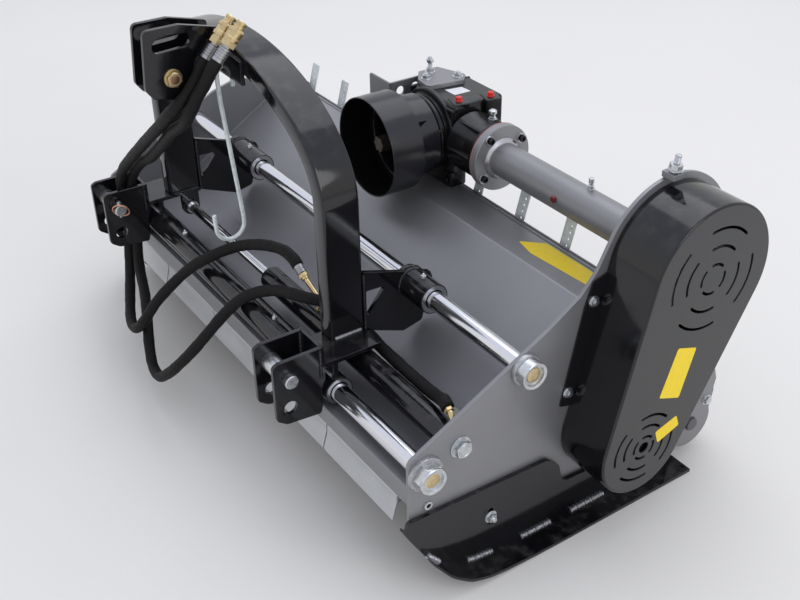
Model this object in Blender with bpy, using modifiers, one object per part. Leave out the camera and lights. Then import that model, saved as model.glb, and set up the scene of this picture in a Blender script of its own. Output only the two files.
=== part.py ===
"""Side-shift tractor mulcher: a flail mower body with a sliding three-point headstock.

Axes: X across the machine with the belt drive on +X, +Y to the rear, Z up from the ground.
The machine frame's own zero is midway between the side plates, on the upper slide bar.
"""

import math

import bmesh
import bpy
from mathutils import Matrix, Vector

# Clearances
GAP = 0.0003
RUNNING_FIT = 0.0005

# Side plates: inner and outer face from the middle
PLATE_OUT = 0.677
PLATE_THICK = 0.008
PLATE_IN = PLATE_OUT - PLATE_THICK
FACE = PLATE_OUT + GAP
BETWEEN = PLATE_IN - GAP

# Axes that run across the machine, as (y, z)
UPPER_BAR = (0.0, 0.4165)
LOWER_BAR = (-0.219, 0.283)
CYLINDER = (-0.142, 0.306)
DRIVE = (0.331, 0.5456)
ROTOR = (0.205, 0.2147)
ROLLER = (0.470, 0.0755)
FLAP_ROD = (-0.236, 0.197)

# Slide bars
BAR_RADIUS = 0.019
UPPER_CARRIER_RADIUS = 0.032
LOWER_CARRIER_RADIUS = 0.030
BAR_NUT_RADIUS = 0.024

# Headstock
HEAD_X = -0.073
ARCH_HALF = 0.394
ARCH_WALL = 0.040
ARCH_SPRING = 0.632
ARCH_TOP = 0.857
ARCH_FOOT = 0.352
ARCH_FRONT = -0.194
ARCH_REAR = -0.114
EAR_THICK = 0.009
EAR_INNER = ARCH_HALF - 0.020
EAR_OUTER = EAR_INNER + 0.075
PIN_RADIUS = 0.014
PIN_BUSH_RADIUS = 0.0185
PIN = (-0.320, 0.350)
CLEVIS_OFFSETS = (-0.025, 0.025)
CLEVIS_THICK = 0.010
TOP_BOLT = (-0.300, 0.7996)
TOP_BOLT_RADIUS = 0.0125

# Rotor, hammers and roller
DRUM_RADIUS = 0.066
ROTOR_SHAFT = 0.0175
HAMMER_PIN_REACH = 0.088
HAMMER_PIN_RADIUS = 0.008
HAMMER_LENGTH = 0.078
HAMMER_WIDTH = 0.050
FORK_SLOT = 0.013
LUG_THICK = 0.012
HAMMER_COUNT = 8
HAMMER_PITCH = 0.155
ROLLER_RADIUS = 0.075
ROLLER_AXLE = 0.015

# Drive
TUBE_RADIUS = 0.038
TUBE_BORE = 0.031
FLANGE_RADIUS = 0.0746
FLANGE_X = 0.1663
DRIVE_SHAFT = 0.014
UPPER_PULLEY = 0.106
LOWER_PULLEY = 0.074
BELT_THICK = 0.010
PULLEY_X = (PLATE_OUT + 0.027, PLATE_OUT + 0.073)
SHAFT_END = PLATE_OUT + 0.083
GUARD_X = -0.028
GUARD_RADIUS = 0.113
INPUT_SHAFT = 0.0175

# Belt cover
COVER_X = (PLATE_OUT + 0.0010, PLATE_OUT + 0.1185)
COVER_WALL = 0.003
COVER_TOP = 0.148
COVER_LOW = 0.104
VENT_WIDTH = 0.0045

# Hood sheet, as the middle of its thickness
HOOD_THICK = 0.004
HOOD_LINE = ((-0.187, 0.227), (-0.050, 0.262), (0.218, 0.430), (0.320, 0.430),
             (0.405, 0.275), (0.422, 0.165))
PLATE_RIM = 0.161

# Front beam and flaps
BEAM_Y = (-0.246, -0.190)
BEAM_Z = (0.206, 0.249)
FLAP_COUNT = 5
FLAP_PITCH = 0.250
FLAP_GAP = 0.004
FLAP_ROD_RADIUS = 0.005

# Rake strips behind the hood
RAKE_COUNT = 9
RAKE_PITCH = 0.150
RAKE_FIRST = -0.650
RAKE_WIDTH = 0.030
RAKE_THICK = 0.005
RAKE_LINE = ((0.353, 0.492), (0.336, 0.434), (0.420, 0.278), (0.436, 0.185))

# Hydraulic cylinder and hoses
BARREL_RADIUS = 0.026
ROD_RADIUS = 0.011
HOSE_RADIUS = 0.012
FERRULE_RADIUS = 0.0125
HOSE_PITCH = 0.040
HOSE_STUB = 0.018

# Finishes: colour, roughness, metallic
GLOSS_BLACK = ((0.012, 0.012, 0.014), 0.22, 0.0)
STEEL_GREY = ((0.20, 0.20, 0.205), 0.42, 0.6)
SATIN_GREY = ((0.085, 0.085, 0.090), 0.38, 0.2)
CHROME = ((0.72, 0.73, 0.76), 0.12, 1.0)
ZINC = ((0.62, 0.64, 0.64), 0.34, 1.0)
YELLOW_ZINC = ((0.55, 0.42, 0.22), 0.35, 1.0)
BRASS = ((0.62, 0.50, 0.28), 0.28, 1.0)
COPPER = ((0.72, 0.40, 0.24), 0.35, 1.0)
CASTING = ((0.018, 0.018, 0.020), 0.45, 0.0)
PLASTIC_BLACK = ((0.016, 0.016, 0.019), 0.40, 0.0)
RUBBER_BLACK = ((0.020, 0.020, 0.020), 0.85, 0.0)
SLEEVE_BLACK = ((0.016, 0.016, 0.017), 0.90, 0.0)
FORGED = ((0.10, 0.09, 0.08), 0.60, 0.8)

X_AXIS = Vector((1.0, 0.0, 0.0))
Y_AXIS = Vector((0.0, 1.0, 0.0))
Z_AXIS = Vector((0.0, 0.0, 1.0))
FACING = {"XY": (0.0, 0.0, 0.0),
          "XZ": (math.pi / 2, 0.0, 0.0),
          "YZ": (math.pi / 2, 0.0, math.pi / 2)}

for leftover in list(bpy.data.objects):
    bpy.data.objects.remove(leftover, do_unlink=True)

PARTS = bpy.data.collections.new("tractor_mulcher")
SHAPING = bpy.data.collections.new("shaping_pieces")
bpy.context.scene.collection.children.link(PARTS)
bpy.context.scene.collection.children.link(SHAPING)
FRAME = bpy.data.objects.new("machine_frame", None)
PARTS.objects.link(FRAME)


# Helpers

def link(name, data, location=(0.0, 0.0, 0.0), turn=(0.0, 0.0, 0.0)):
    piece = bpy.data.objects.new(name, data)
    PARTS.objects.link(piece)
    piece.parent = FRAME
    piece.location = location
    piece.rotation_euler = turn
    return piece


def finish(piece, look):
    colour, roughness, metallic = look
    material = bpy.data.materials.new(piece.name)
    material.use_nodes = True
    shader = material.node_tree.nodes["Principled BSDF"]
    shader.inputs["Base Color"].default_value = (*colour, 1.0)
    shader.inputs["Roughness"].default_value = roughness
    shader.inputs["Metallic"].default_value = metallic
    material.diffuse_color = (*colour, 1.0)
    piece.data.materials.clear()
    piece.data.materials.append(material)
    return piece


def shape_with(piece, other, operation):
    PARTS.objects.unlink(other)
    SHAPING.objects.link(other)
    other.hide_render = True
    other.display_type = "WIRE"
    step = piece.modifiers.new(other.name, "BOOLEAN")
    step.operation = operation
    step.solver = "EXACT"
    step.object = other


def weld(piece, *others):
    for other in others:
        shape_with(piece, other, "UNION")
    return piece


def cut(piece, *others):
    for other in others:
        shape_with(piece, other, "DIFFERENCE")
    return piece


def smooth_sides(mesh):
    mesh.polygons.foreach_set("use_smooth", [True] * len(mesh.polygons))
    mesh.set_sharp_from_angle(angle=math.radians(40))


def rod(name, radius, start, end, sides=16):
    start, end = Vector(start), Vector(end)
    shape = bmesh.new()
    bmesh.ops.create_cone(shape, cap_ends=True, cap_tris=False, segments=sides,
                          radius1=radius, radius2=radius, depth=(end - start).length)
    mesh = bpy.data.meshes.new(name)
    shape.to_mesh(mesh)
    shape.free()
    if sides > 8:
        smooth_sides(mesh)
    turn = (end - start).to_track_quat("Z", "Y").to_euler()
    return link(name, mesh, (start + end) / 2, turn)


def cross_rod(name, radius, axis, span, sides=16):
    return rod(name, radius, (span[0], *axis), (span[1], *axis), sides)


def block(name, low, high):
    low, high = Vector(low), Vector(high)
    shape = bmesh.new()
    bmesh.ops.create_cube(shape, size=1.0)
    bmesh.ops.scale(shape, vec=high - low, verts=shape.verts)
    mesh = bpy.data.meshes.new(name)
    shape.to_mesh(mesh)
    shape.free()
    return link(name, mesh, (low + high) / 2)


def turned(name, profile, origin, direction, steps=20, ring=False):
    """Profile points are (radius, height), down the outer side; a ring closes on itself."""
    count = len(profile)
    edges = [(i, i + 1) for i in range(count - 1)]
    if ring:
        edges.append((count - 1, 0))
    mesh = bpy.data.meshes.new(name)
    mesh.from_pydata([(radius, 0.0, height) for radius, height in profile], edges, [])
    turn = Vector(direction).to_track_quat("Z", "Y").to_euler()
    piece = link(name, mesh, origin, turn)
    spin = piece.modifiers.new("turning", "SCREW")
    spin.axis = "Z"
    spin.angle = 2 * math.pi
    spin.steps = steps
    spin.render_steps = steps
    spin.use_merge_vertices = True
    spin.merge_threshold = 0.00001
    spin.use_smooth_shade = True
    return piece


def cross_turned(name, profile, axis, steps=20, ring=False):
    return turned(name, profile, (0.0, *axis), X_AXIS, steps, ring)


def meshed(piece):
    depsgraph = bpy.context.evaluated_depsgraph_get()
    mesh = bpy.data.meshes.new_from_object(piece.evaluated_get(depsgraph))
    shape = bmesh.new()
    shape.from_mesh(mesh)
    bmesh.ops.remove_doubles(shape, verts=shape.verts, dist=0.000001)
    bmesh.ops.recalc_face_normals(shape, faces=shape.faces)
    shape.to_mesh(mesh)
    shape.free()
    mesh.materials.clear()
    name, location, turn = piece.name, piece.location.copy(), piece.rotation_euler.copy()
    bpy.data.objects.remove(piece, do_unlink=True)
    return link(name, mesh, location, turn)


def slab(name, loops, span, facing="YZ"):
    """Flat outline with its holes, as thick as the span along the facing normal."""
    curve = bpy.data.curves.new(name, "CURVE")
    curve.dimensions = "2D"
    curve.fill_mode = "BOTH"
    curve.extrude = (span[1] - span[0]) / 2
    for loop in loops:
        spline = curve.splines.new("POLY")
        spline.points.add(len(loop) - 1)
        for point, (u, v) in zip(spline.points, loop):
            point.co = (u, v, 0.0, 1.0)
        spline.use_cyclic_u = True
    middle = (span[0] + span[1]) / 2
    location = {"XY": (0.0, 0.0, middle), "XZ": (0.0, middle, 0.0), "YZ": (middle, 0.0, 0.0)}
    return meshed(link(name, curve, location[facing], FACING[facing]))


def sheet(name, line, span, thickness, origin=(0.0, 0.0, 0.0)):
    """Bent sheet: a (y, z) line through the middle of the thickness, drawn out along X."""
    vertices = [(x, y, z) for y, z in line for x in span]
    faces = [(2 * i, 2 * i + 1, 2 * i + 3, 2 * i + 2) for i in range(len(line) - 1)]
    mesh = bpy.data.meshes.new(name)
    mesh.from_pydata(vertices, [], faces)
    piece = link(name, mesh, origin)
    wall = piece.modifiers.new("thickness", "SOLIDIFY")
    wall.thickness = thickness
    wall.offset = 0.0
    wall.use_even_offset = True
    return piece


def tube(name, points, radius, resolution=2):
    curve = bpy.data.curves.new(name, "CURVE")
    curve.dimensions = "3D"
    curve.bevel_depth = radius
    curve.bevel_resolution = resolution
    curve.use_fill_caps = True
    spline = curve.splines.new("POLY")
    spline.points.add(len(points) - 1)
    for point, place in zip(spline.points, points):
        point.co = (*place, 1.0)
    return meshed(link(name, curve))


def arc(centre, radius, start, end, count):
    """Points from start to end in degrees, both included."""
    points = []
    for i in range(count + 1):
        angle = math.radians(start + (end - start) * i / count)
        points.append((centre[0] + radius * math.cos(angle),
                       centre[1] + radius * math.sin(angle)))
    return points


def circle(centre, radius, count=16):
    return arc(centre, radius, 0.0, 360.0, count)[:-1]


def rounded(corners):
    """Outline from (u, v, corner radius) points."""
    loop = []
    for i, (u, v, radius) in enumerate(corners):
        if radius == 0.0:
            loop.append((u, v))
            continue
        here = Vector((u, v))
        before = (Vector(corners[i - 1][:2]) - here).normalized()
        after = (Vector(corners[(i + 1) % len(corners)][:2]) - here).normalized()
        half = before.angle(after) / 2
        centre = here + (before + after).normalized() * (radius / math.sin(half))
        start = here + before * (radius / math.tan(half)) - centre
        end = here + after * (radius / math.tan(half)) - centre
        first = math.degrees(math.atan2(start.y, start.x))
        sweep = math.degrees(math.atan2(start.x * end.y - start.y * end.x, start.dot(end)))
        count = max(2, round(abs(sweep) / 32))
        loop.extend(arc(centre, radius, first, first + sweep, count))
    return loop


def belt_line(top_radius, low_radius, count=20):
    """Outline round the two pulley centres with straight sides."""
    reach = Vector(DRIVE) - Vector(ROTOR)
    lean = math.degrees(math.atan2(reach.y, reach.x))
    side = math.degrees(math.acos((low_radius - top_radius) / reach.length))
    top = arc(DRIVE, top_radius, lean - side, lean + side, count)
    low = arc(ROTOR, low_radius, lean + side, lean + 360 - side, count - 7)
    return top + low


def hex_nut(name, radius, axis, span):
    nut = cross_rod(name, radius, axis, span, 6)
    nut.rotation_euler.rotate_axis("Z", math.radians(7))
    return nut


def smooth_route(points, pitch):
    """Points a pitch apart along a Catmull-Rom curve through the route points."""
    route = [Vector(p) for p in points]
    ends = [2 * route[0] - route[1]] + route + [2 * route[-1] - route[-2]]
    fine = []
    for before, start, end, after in zip(ends, ends[1:], ends[2:], ends[3:]):
        for t in (0.0, 0.2, 0.4, 0.6, 0.8):
            fine.append(0.5 * (2 * start + (end - before) * t
                               + (2 * before - 5 * start + 4 * end - after) * t ** 2
                               + (3 * start - before - 3 * end + after) * t ** 3))
    fine.append(route[-1])
    reach = [0.0]
    for start, end in zip(fine, fine[1:]):
        reach.append(reach[-1] + (end - start).length)
    count = round(reach[-1] / pitch)
    line, step = [], 0
    for i in range(count + 1):
        target = reach[-1] * i / count
        while step < len(fine) - 2 and reach[step + 1] < target:
            step += 1
        share = (target - reach[step]) / (reach[step + 1] - reach[step])
        line.append(fine[step].lerp(fine[step + 1], share))
    return line


# Side plates

SLOPE = ((-0.135, 0.050, 0.0), (-0.180, 0.080, 0.0), (-0.214, 0.110, 0.0), (-0.241, 0.147, 0.0),
         (-0.254, 0.180, 0.0), (-0.254, 0.320, 0.020), (0.053, 0.479, 0.060))
PLATE_REAR = ((0.545, 0.160), (0.535, 0.100), (0.505, 0.102), (0.490, 0.164), (0.440, 0.158),
              (0.400, 0.130), (0.385, 0.050))


def plate_holes(bearing):
    return [circle(UPPER_BAR, BAR_RADIUS + RUNNING_FIT),
            circle(LOWER_BAR, BAR_RADIUS + RUNNING_FIT),
            circle(ROTOR, bearing)]


def side_plates():
    front = rounded(SLOPE + ((0.124, 0.523, 0.0), (0.158, 0.562, 0.0)))
    rim = arc(DRIVE, PLATE_RIM, 155.0, -25.0, 16)
    rear = rounded(((0.500, 0.300, 0.0),) + tuple((y, z, 0.0) for y, z in PLATE_REAR))
    holes = plate_holes(0.020) + [circle(CYLINDER, 0.0108, 12), circle(DRIVE, 0.0150)]
    drive = slab("side_plate_drive", [front + rim + rear] + holes, (PLATE_IN, PLATE_OUT))
    weld(drive, hex_nut("plate_front_bolt", 0.008, (-0.214, 0.206), (PLATE_OUT - 0.001, PLATE_OUT + 0.005)))
    finish(drive, STEEL_GREY)
    far = SLOPE + ((0.120, 0.498, 0.030), (0.300, 0.462, 0.020), (0.335, 0.440, 0.0),
                   (0.440, 0.270, 0.0)) + tuple((y, z, 0.0) for y, z in PLATE_REAR)
    idle = slab("side_plate_idle", [rounded(far)] + plate_holes(0.020), (-PLATE_OUT, -PLATE_IN))
    finish(idle, STEEL_GREY)


def hood():
    shell = sheet("hood_shell", HOOD_LINE, (-BETWEEN, BETWEEN), HOOD_THICK)
    finish(shell, STEEL_GREY)


# Slide bars, through both plates, with a collar and a nut at each end

def slide_bar(name, axis, collar, nut):
    out = FACE
    profile = [(0.0, out + 0.022), (BAR_RADIUS - 0.002, out + 0.022), (BAR_RADIUS, out + 0.020),
               (BAR_RADIUS, out + 0.008), (collar, out + 0.008), (collar, out),
               (BAR_RADIUS, out), (BAR_RADIUS, -out), (collar, -out), (collar, -out - 0.008),
               (BAR_RADIUS, -out - 0.008), (BAR_RADIUS, -out - 0.022), (0.0, -out - 0.022)]
    bar = cross_turned(name, profile, axis)
    for side in (-1, 1):
        span = sorted((side * (out + 0.007), side * (out + 0.018)))
        weld(bar, hex_nut(name + "_nut", nut, axis, span))
    finish(bar, CHROME)


def slide_bars():
    slide_bar("upper_slide_bar", UPPER_BAR, 0.029, BAR_NUT_RADIUS)
    slide_bar("lower_slide_bar", LOWER_BAR, 0.031, BAR_NUT_RADIUS + 0.003)


# Front beam with the flap rod and its hangers

def front_beam():
    beam = block("front_beam", (-BETWEEN, BEAM_Y[0], BEAM_Z[0]), (BETWEEN, BEAM_Y[1], BEAM_Z[1]))
    reach = FLAP_PITCH * FLAP_COUNT / 2 + 0.004
    weld(beam, cross_rod("flap_rod", FLAP_ROD_RADIUS, FLAP_ROD, (-reach, reach), 16))
    for i in range(FLAP_COUNT + 1):
        x = FLAP_PITCH * (i - FLAP_COUNT / 2)
        low = (x - 0.0015, FLAP_ROD[0] - 0.007, FLAP_ROD[1] - 0.008)
        high = (x + 0.0015, FLAP_ROD[0] + 0.007, BEAM_Z[0] + 0.004)
        weld(beam, block("rod_hanger", low, high))
    return finish(beam, SATIN_GREY)


def front_flaps():
    knuckle = arc((0.0, 0.0), 0.0070, -10.0, 200.0, 7)
    hang = [(-0.0070, -0.012), (-0.0105, -0.024), (-0.0175, -0.050)]
    half = FLAP_PITCH / 2 - FLAP_GAP / 2
    for i in range(FLAP_COUNT):
        x = FLAP_PITCH * (i - (FLAP_COUNT - 1) / 2)
        flap = sheet(f"front_flap_{i + 1}", knuckle + hang, (-half, half), 0.0022,
                     (x, *FLAP_ROD))
        finish(flap, ZINC)


# Skids: an upright web outside the plate and a sole under it

SOLE_THICK = 0.008
SOLE_LINE = ((-0.224, 0.090), (-0.192, 0.052), (-0.154, 0.027), (-0.110, 0.0145),
             (-0.071, 0.0095), (0.003, 0.0055), (0.080, 0.0040), (0.360, 0.0040),
             (0.363, 0.0040), (0.426, 0.0040))
SOLE_OUTER = (0.023, 0.045, 0.058, 0.063, 0.063, 0.063, 0.063, 0.063, 0.063, 0.063)
SOLE_INNER = (-0.077, -0.092, -0.097, -0.097, -0.097, -0.097, -0.097, -0.097, 0.0005, 0.0005)


def skid(name, side):
    web_span = sorted((side * FACE, side * (FACE + 0.010)))
    web_line = rounded(((-0.261, 0.191, 0.006), (-0.268, 0.165, 0.006), (-0.246, 0.125, 0.0),
                        (-0.224, 0.090, 0.0), (-0.192, 0.052, 0.0), (-0.154, 0.027, 0.0),
                        (-0.110, 0.0145, 0.0), (-0.071, 0.0095, 0.0), (0.003, 0.0055, 0.0),
                        (0.080, 0.0040, 0.0), (0.405, 0.0040, 0.0), (0.405, 0.085, 0.015),
                        (0.105, 0.100, 0.020), (0.094, 0.150, 0.030), (0.063, 0.178, 0.020)))
    slot = rounded(((-0.095, 0.102, 0.0055), (-0.055, 0.102, 0.0055), (-0.055, 0.114, 0.0055),
                    (-0.095, 0.114, 0.0055)))
    web = slab(name, [web_line, slot], web_span)
    vertices = []
    for (y, z), outer, inner in zip(SOLE_LINE, SOLE_OUTER, SOLE_INNER):
        vertices += [(side * (PLATE_OUT + inner), y, z), (side * (PLATE_OUT + outer), y, z)]
    faces = [(2 * i, 2 * i + 1, 2 * i + 3, 2 * i + 2) for i in range(len(SOLE_LINE) - 1)]
    mesh = bpy.data.meshes.new(name + "_sole")
    mesh.from_pydata(vertices, [], faces)
    sole = link(name + "_sole", mesh)
    wall = sole.modifiers.new("thickness", "SOLIDIFY")
    wall.thickness = SOLE_THICK
    wall.offset = 0.0
    wall.use_even_offset = True
    weld(web, sole)
    out = side * (FACE + 0.010)
    washer = sorted((out - side * 0.001, out + side * 0.002))
    head = sorted((out + side * 0.001, out + side * 0.009))
    weld(web, cross_rod(name + "_washer", 0.0135, (-0.075, 0.108), washer, 16))
    weld(web, hex_nut(name + "_bolt", 0.010, (-0.075, 0.108), head))
    finish(web, GLOSS_BLACK)


def skids():
    skid("skid_drive", 1)
    skid("skid_idle", -1)


# Rear roller and its brackets outside the plates

def rear_roller():
    end = PLATE_IN - 0.014
    tip = PLATE_OUT + 0.016
    rim = ROLLER_RADIUS - 0.015
    profile = [(0.0, tip), (ROLLER_AXLE, tip), (ROLLER_AXLE, end), (rim, end),
               (ROLLER_RADIUS, end - 0.004), (ROLLER_RADIUS, -end + 0.004), (rim, -end),
               (ROLLER_AXLE, -end), (ROLLER_AXLE, -tip), (0.0, -tip)]
    finish(cross_turned("rear_roller", profile, ROLLER, 28), SATIN_GREY)
    round_end = arc(ROLLER, 0.058, 200.0, 380.0, 10)
    upper = [(0.532, 0.140), (0.505, 0.215), (0.455, 0.245), (0.420, 0.220), (0.412, 0.130)]
    for name, side in (("roller_bracket_drive", 1), ("roller_bracket_idle", -1)):
        span = sorted((side * FACE, side * (FACE + 0.008)))
        bore = circle(ROLLER, ROLLER_AXLE + RUNNING_FIT)
        bracket = slab(name, [round_end + upper, bore], span)
        for axis in ((0.512, 0.121), (0.455, 0.205)):
            head = sorted((side * (FACE + 0.007), side * (FACE + 0.015)))
            weld(bracket, hex_nut(name + "_bolt", 0.010, axis, head))
        finish(bracket, STEEL_GREY)


# Rotor: drum, shaft, hammer lugs with their pins, and the lower pulley

def hammer_row(index):
    side = -1 if index % 2 == 0 else 1
    x = HAMMER_PITCH * (index - (HAMMER_COUNT - 1) / 2)
    return x, side


def rotor():
    end = PLATE_IN - 0.029
    stub = PLATE_OUT + 0.023
    profile = [(0.0, SHAFT_END), (ROTOR_SHAFT, SHAFT_END), (ROTOR_SHAFT, end),
               (DRUM_RADIUS, end), (DRUM_RADIUS, -end), (ROTOR_SHAFT, -end),
               (ROTOR_SHAFT, -stub), (0.0, -stub)]
    drum = cross_turned("rotor_drum", profile, ROTOR)
    for index in range(HAMMER_COUNT):
        x, side = hammer_row(index)
        y = ROTOR[0] + side * HAMMER_PIN_REACH
        root = ROTOR[0] + side * (DRUM_RADIUS - 0.006)
        sweep = (90.0, -90.0) if side > 0 else (90.0, 270.0)
        eye = arc((y, ROTOR[1]), 0.0145, *sweep, 4)
        lug_line = [(root, ROTOR[1] + 0.018)] + eye + [(root, ROTOR[1] - 0.018)]
        lug = slab("hammer_lug", [lug_line], (x - LUG_THICK / 2, x + LUG_THICK / 2))
        pin_span = (x - HAMMER_WIDTH / 2 - 0.003, x + HAMMER_WIDTH / 2 + 0.003)
        weld(drum, lug)
        weld(drum, cross_rod("hammer_pin", HAMMER_PIN_RADIUS, (y, ROTOR[1]), pin_span, 10))
    finish(drum, SATIN_GREY)


def hammers():
    tip = -HAMMER_LENGTH
    body = arc((0.0, 0.0), 0.016, 0.0, 180.0, 6)
    body += [(-0.016, -0.030), (-0.024, -0.055), (-0.024, tip + 0.004), (-0.018, tip),
             (0.018, tip), (0.024, tip + 0.004), (0.024, -0.055), (0.016, -0.030)]
    bore = circle((0.0, 0.0), HAMMER_PIN_RADIUS + RUNNING_FIT, 10)
    for index in range(HAMMER_COUNT):
        x, side = hammer_row(index)
        place = Vector((x, ROTOR[0] + side * HAMMER_PIN_REACH, ROTOR[1]))
        hammer = slab(f"hammer_{index + 1}", [body, bore], (-HAMMER_WIDTH / 2, HAMMER_WIDTH / 2))
        hammer.location = place
        slot = block("fork_slot", (x - FORK_SLOT / 2, place.y - 0.030, place.z - 0.022),
                     (x + FORK_SLOT / 2, place.y + 0.030, place.z + 0.030))
        cut(hammer, slot)
        finish(hammer, FORGED)


def rotor_bearings():
    bore = ROTOR_SHAFT + RUNNING_FIT
    open_end = [(0.036, FACE + 0.024), (0.060, FACE + 0.010), (0.060, FACE), (bore, FACE),
                (bore, FACE + 0.024)]
    finish(cross_turned("rotor_bearing_drive", open_end, ROTOR, ring=True), CASTING)
    closed = [(0.0, -FACE - 0.034), (bore, -FACE - 0.034), (bore, -FACE), (0.060, -FACE),
              (0.060, -FACE - 0.012), (0.036, -FACE - 0.040), (0.0, -FACE - 0.040)]
    finish(cross_turned("rotor_bearing_idle", closed, ROTOR), CASTING)


# Belt drive

def pulley(name, radius, bore, axis):
    low, high = PULLEY_X
    profile = [(radius, high), (radius, low), (bore, low), (bore, high)]
    finish(cross_turned(name, profile, axis, 24, ring=True), SATIN_GREY)


def belt_drive():
    pulley("upper_pulley", UPPER_PULLEY, DRIVE_SHAFT + RUNNING_FIT, DRIVE)
    pulley("lower_pulley", LOWER_PULLEY, ROTOR_SHAFT + RUNNING_FIT, ROTOR)
    inner = belt_line(UPPER_PULLEY + 0.0008, LOWER_PULLEY + 0.0008)
    outer = belt_line(UPPER_PULLEY + BELT_THICK, LOWER_PULLEY + BELT_THICK)
    belt = slab("drive_belt", [outer, inner], (PULLEY_X[0] + 0.004, PULLEY_X[1] - 0.004))
    finish(belt, RUBBER_BLACK)


def vent_ring(centre, radius, arcs, span):
    """Concentric slots, each an arc of the vent ring with bridges between."""
    loops = []
    width = VENT_WIDTH / 2
    bridge = math.degrees(0.011 / radius)
    for i in range(arcs):
        start = i * 360 / arcs + 35 + bridge
        end = (i + 1) * 360 / arcs + 35 - bridge
        count = 3 if radius < 0.06 else 4
        loops.append(arc(centre, radius + width, start, end, count)
                     + arc(centre, radius - width, end, start, count))
    return loops


def belt_cover():
    back, front = COVER_X
    cover = slab("belt_cover", [belt_line(COVER_TOP, COVER_LOW)], (back, front))
    lip_line = rounded(((0.138, 0.539, 0.006), (0.114, 0.362, 0.0), (0.096, 0.232, 0.0),
                        (0.125, 0.150, 0.0), (0.179, 0.112, 0.006), (0.190, 0.330, 0.0),
                        (0.200, 0.560, 0.0)))
    weld(cover, slab("cover_lip", [lip_line], (PLATE_OUT + 0.0005, back + 0.0025)))
    inside = belt_line(COVER_TOP - COVER_WALL, COVER_LOW - COVER_WALL)
    cut(cover, slab("cover_inside", [inside], (back - 0.010, front - COVER_WALL)))
    vents = []
    for radius in (0.030, 0.066, 0.102):
        vents += vent_ring(DRIVE, radius, 4, COVER_X)
    for radius in (0.025, 0.050, 0.0735):
        vents += vent_ring(ROTOR, radius, 4, COVER_X)
    vents.append(circle(ROTOR, 0.012, 12))
    cut(cover, slab("cover_vents", vents, (front - 0.012, front + 0.010)))
    for axis in ((0.152, 0.505), (0.106, 0.318)):
        weld(cover, hex_nut("cover_bolt", 0.009, axis, (back + 0.0015, back + 0.009)))
    finish(cover, GLOSS_BLACK)


def tensioner():
    low = Vector((0.662, 0.300, DRIVE[1] + PLATE_RIM + GAP))
    body = block("belt_tensioner", low, low + Vector((0.044, 0.034, 0.014)))
    foot = Vector((0.688, 0.317, low.z + 0.012))
    weld(body, rod("tensioner_stud", 0.0055, foot, foot + Z_AXIS * 0.052, 10))
    weld(body, rod("tensioner_nut", 0.0105, foot + Z_AXIS * 0.001, foot + Z_AXIS * 0.012, 6))
    weld(body, rod("tensioner_top", 0.0095, foot + Z_AXIS * 0.036, foot + Z_AXIS * 0.046, 6))
    finish(body, ZINC)


# Drive tube, drive shaft and gearbox

def drive_line():
    flange = FLANGE_X
    profile = [(TUBE_RADIUS, BETWEEN), (TUBE_RADIUS, flange + 0.030), (0.052, flange + 0.022),
               (FLANGE_RADIUS, flange + 0.020), (FLANGE_RADIUS, flange), (TUBE_BORE, flange),
               (TUBE_BORE, BETWEEN)]
    case = cross_turned("drive_tube", profile, DRIVE, 28, ring=True)
    for degrees in (35, 125, 215, 305):
        y, z = arc(DRIVE, 0.061, degrees, degrees, 1)[0]
        weld(case, cross_rod("flange_bolt", 0.0075, (y, z), (flange + 0.018, flange + 0.030), 8))
    top = Vector((0.446, DRIVE[0], DRIVE[1] + TUBE_RADIUS - 0.003))
    weld(case, rod("tube_breather", 0.0065, top, top + Z_AXIS * 0.030, 8))
    front = Vector((0.452, DRIVE[0] - TUBE_RADIUS + 0.003, DRIVE[1]))
    weld(case, rod("tube_plug", 0.0075, front, front - Y_AXIS * 0.009, 8))
    finish(case, STEEL_GREY)
    shaft = cross_rod("drive_shaft", DRIVE_SHAFT, DRIVE, (flange + GAP, SHAFT_END))
    finish(shaft, ZINC)


def gearbox():
    case = block("gearbox_housing", (-0.105, 0.274, 0.458), (0.075, 0.430, 0.630))
    edges = case.modifiers.new("cast_edges", "BEVEL")
    edges.width = 0.014
    edges.segments = 1
    nose = turned("gearbox_nose", [(0.0, -0.256), (0.080, -0.256), (0.088, -0.264),
                                   (0.088, -0.280), (0.0, -0.280)],
                  (GUARD_X, 0.0, DRIVE[1]), -Y_AXIS, 24)
    neck = cross_turned("gearbox_neck", [(0.0, FLANGE_X - GAP), (0.070, FLANGE_X - GAP),
                                         (0.070, FLANGE_X - 0.014), (0.052, FLANGE_X - 0.018),
                                         (0.062, 0.070), (0.0, 0.060)], DRIVE, 24)
    back = turned("gearbox_back", [(0.0, 0.446), (0.058, 0.446), (0.064, 0.440),
                                   (0.064, 0.420), (0.0, 0.420)],
                  (GUARD_X, 0.0, DRIVE[1]), Y_AXIS, 16)
    foot = block("gearbox_foot", (-0.085, 0.286, 0.4323), (0.055, 0.318, 0.470))
    weld(case, nose, neck, back, foot)
    for x, y in ((0.041, 0.320), (0.059, 0.395)):
        weld(case, block("plug_boss", (x - 0.017, y - 0.016, 0.600), (x + 0.014, y + 0.016, 0.632)))
        weld(case, rod("filler_plug", 0.0075, (x, y, 0.630), (x, y, 0.640), 8))
    weld(case, rod("case_breather", 0.0065, (0.115, 0.358, 0.590), (0.115, 0.358, 0.628), 8))
    finish(case, CASTING)


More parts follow.
